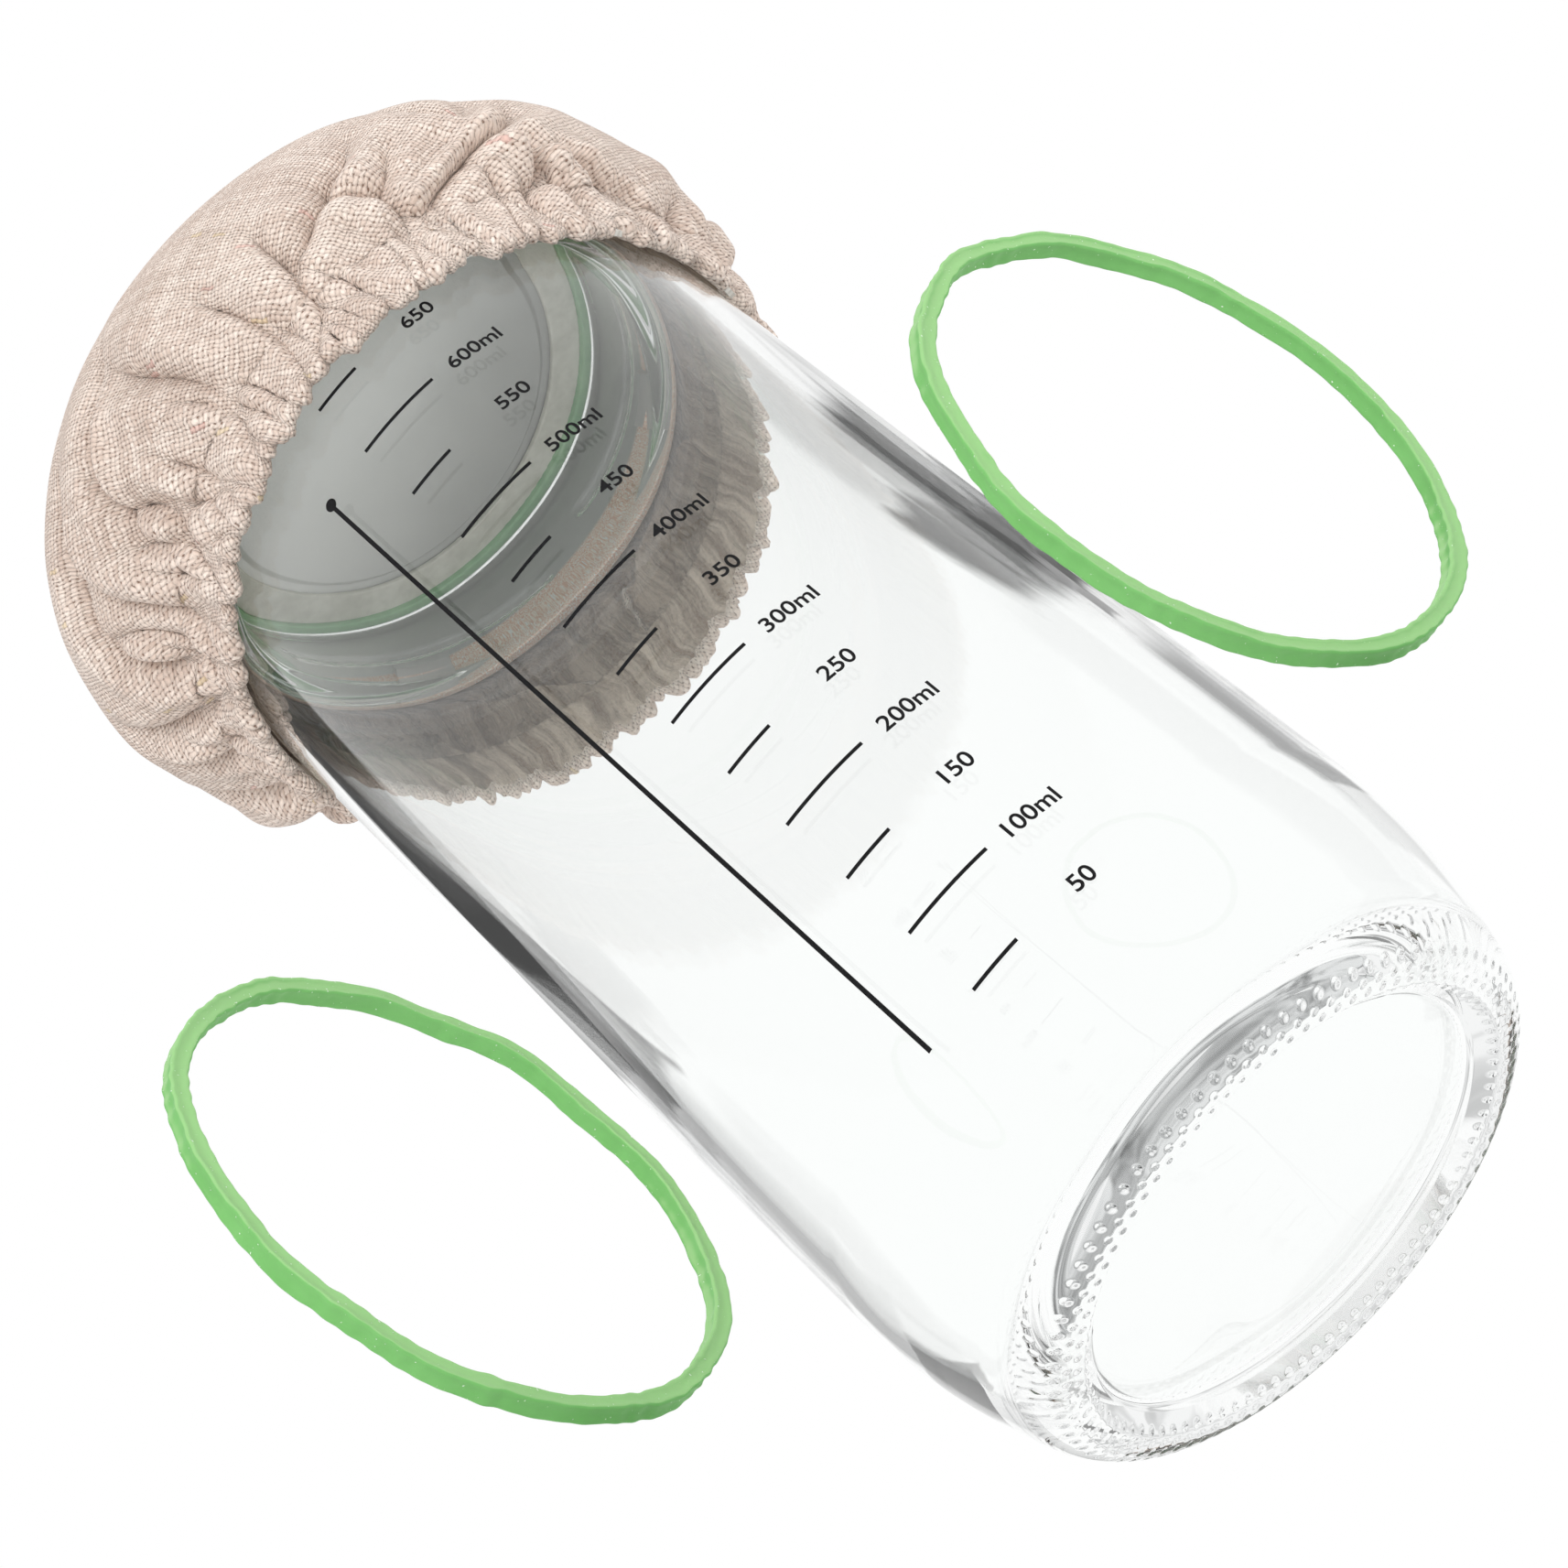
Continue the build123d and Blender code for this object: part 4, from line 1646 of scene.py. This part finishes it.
@dataclass
class Studio:
    """White room, soft lamps, a pale floor and the photograph's camera."""

    camera_place: tuple = (0.0, -364.75, -171.28)
    camera_turn: tuple = (137.416, 37.699, 33.885)
    lens: float = 83.287
    sensor: float = 36.0
    clip: tuple = (10.0, 50000.0)
    floor_drop: float = 0.6
    floor_size: float = 6000.0
    room_level: float = 0.84
    path_steps: int = 24
    lamps: tuple = (
        Lamp("key", (-150, -900, 60), 450, 3.1),
        Lamp("side", (900, -350, 500), 600, 2.5),
        Lamp("top", (100, 350, 1100), 700, 2.6),
    )
    cards: tuple = (
        DarkCard((122, 165), (35.1, 36.8), 2.0, 0.93),
        DarkCard((122, 151), (37.1, 38.5), 2.0, 0.9),
        DarkCard((140, 147), (34.0, 34.8), 1.0, 0.8),
        DarkCard((152, 164), (37.5, 39.5), 3.0, 0.3),
        DarkCard((134, 150), (20.0, 32.0), 5.0, 0.6),
        DarkCard((-148, -122), (34.5, 43.0), 1.5, 0.93, slant=3.3),
        DarkCard((-150, -122), (15.0, 34.0), 5.0, 0.5),
        DarkCard((-163, -135), (-18.0, 14.0), 4.0, 0.85),
        DarkCard((160, 175), (-24.0, -15.0), 3.0, 0.6),
    )
    wobble: float = 5.0
    wobble_grain: Grain = Grain(14.0, 4.0, 0.6)

    def camera(self) -> None:
        """Makes the camera."""
        data = bpy.data.cameras.new("camera")
        data.lens = self.lens
        data.sensor_width = self.sensor
        data.clip_start, data.clip_end = [distance * MM for distance in self.clip]
        piece = added("camera", data)
        piece.location = Vector(self.camera_place) * MM
        piece.rotation_euler = [math.radians(part) for part in self.camera_turn]
        bpy.context.scene.camera = piece

    def world(self) -> None:
        """Makes the room: white with dark cards to glass, white to the camera, dimmer to the rest."""
        world = bpy.data.worlds.new("white_room")
        bpy.context.scene.world = world
        world.use_nodes = True
        graph = Graph(world.node_tree)
        direction = graph.vector("NORMALIZE", graph.place("Generated"))
        x, y, z = graph.split(direction)
        uneven = (graph.noise(direction, self.wobble_grain) - 0.5) * self.wobble
        bearing = graph.maths("ARCTAN2", x, y * -1) * math.degrees(1) + uneven
        rise = graph.maths("ARCSINE", z) * math.degrees(1) + uneven * (1 / 3)
        dark, *patches = [card.patch(bearing, rise) for card in self.cards]
        for patch in patches:
            dark = dark.larger(patch)
        glassy = graph.glassy()
        colours = [WHITE, graph.mix(dark * glassy, WHITE, BLACK)]
        room, bright = [
            graph.signal("ShaderNodeBackground", inputs={"Color": colour, "Strength": strength})
            for colour, strength in zip(colours, (self.room_level, 1.0))
        ]
        seen = graph.blend(graph.ray("Is Camera Ray").larger(glassy), room, bright)
        graph.node("ShaderNodeOutputWorld", inputs={"Surface": seen})

    def floor(self) -> None:
        """Makes the floor, which casts no shadow."""
        half = self.floor_size / 2
        corners = [(-half, -half), (half, -half), (half, half), (-half, half)]
        points = np.array([(x, y, -self.floor_drop) for x, y in corners])
        piece = mesh_piece("floor", points, [(0, 1, 2, 3)], FloorFinish().material())
        piece.visible_shadow = False

    def build(self) -> None:
        """Makes the whole studio."""
        scene = bpy.context.scene
        scene.view_settings.view_transform = "Standard"
        for kind in ("max", "glossy", "transmission", "transparent_max"):
            setattr(scene.cycles, f"{kind}_bounces", self.path_steps)
        self.world()
        self.floor()
        for lamp in self.lamps:
            lamp.build()
        self.camera()
        LOG.info("studio: %d lamps and %d dark cards", len(self.lamps), len(self.cards))


def main() -> None:
    """Builds every sub-assembly and the studio."""
    logging.basicConfig(level=logging.INFO, format="%(message)s")
    Studio().build()
    GlassJar().build()
    PrintedScale().build()
    Lid().build()
    LinenCover().build()
    silicone = RubberFinish(
        "band_green",
        body=shown(116, 181, 102),
        shade=shown(106, 172, 92),
        speck=1.0,
        bleed=0.1,
        # Lighter green painted as light on the bands' lit side.
        lit_side=shown(141, 190, 123),
    ).material()
    LevelBand("band_left", (-51.5, -80.5, 30.25), 158.1, 6.3, seed=3).build(silicone)
    LevelBand("band_right", (50.4, -70.4, 29.66), 143.4, 13.9, seed=5).build(silicone)


if __name__ == "__main__":
    main()
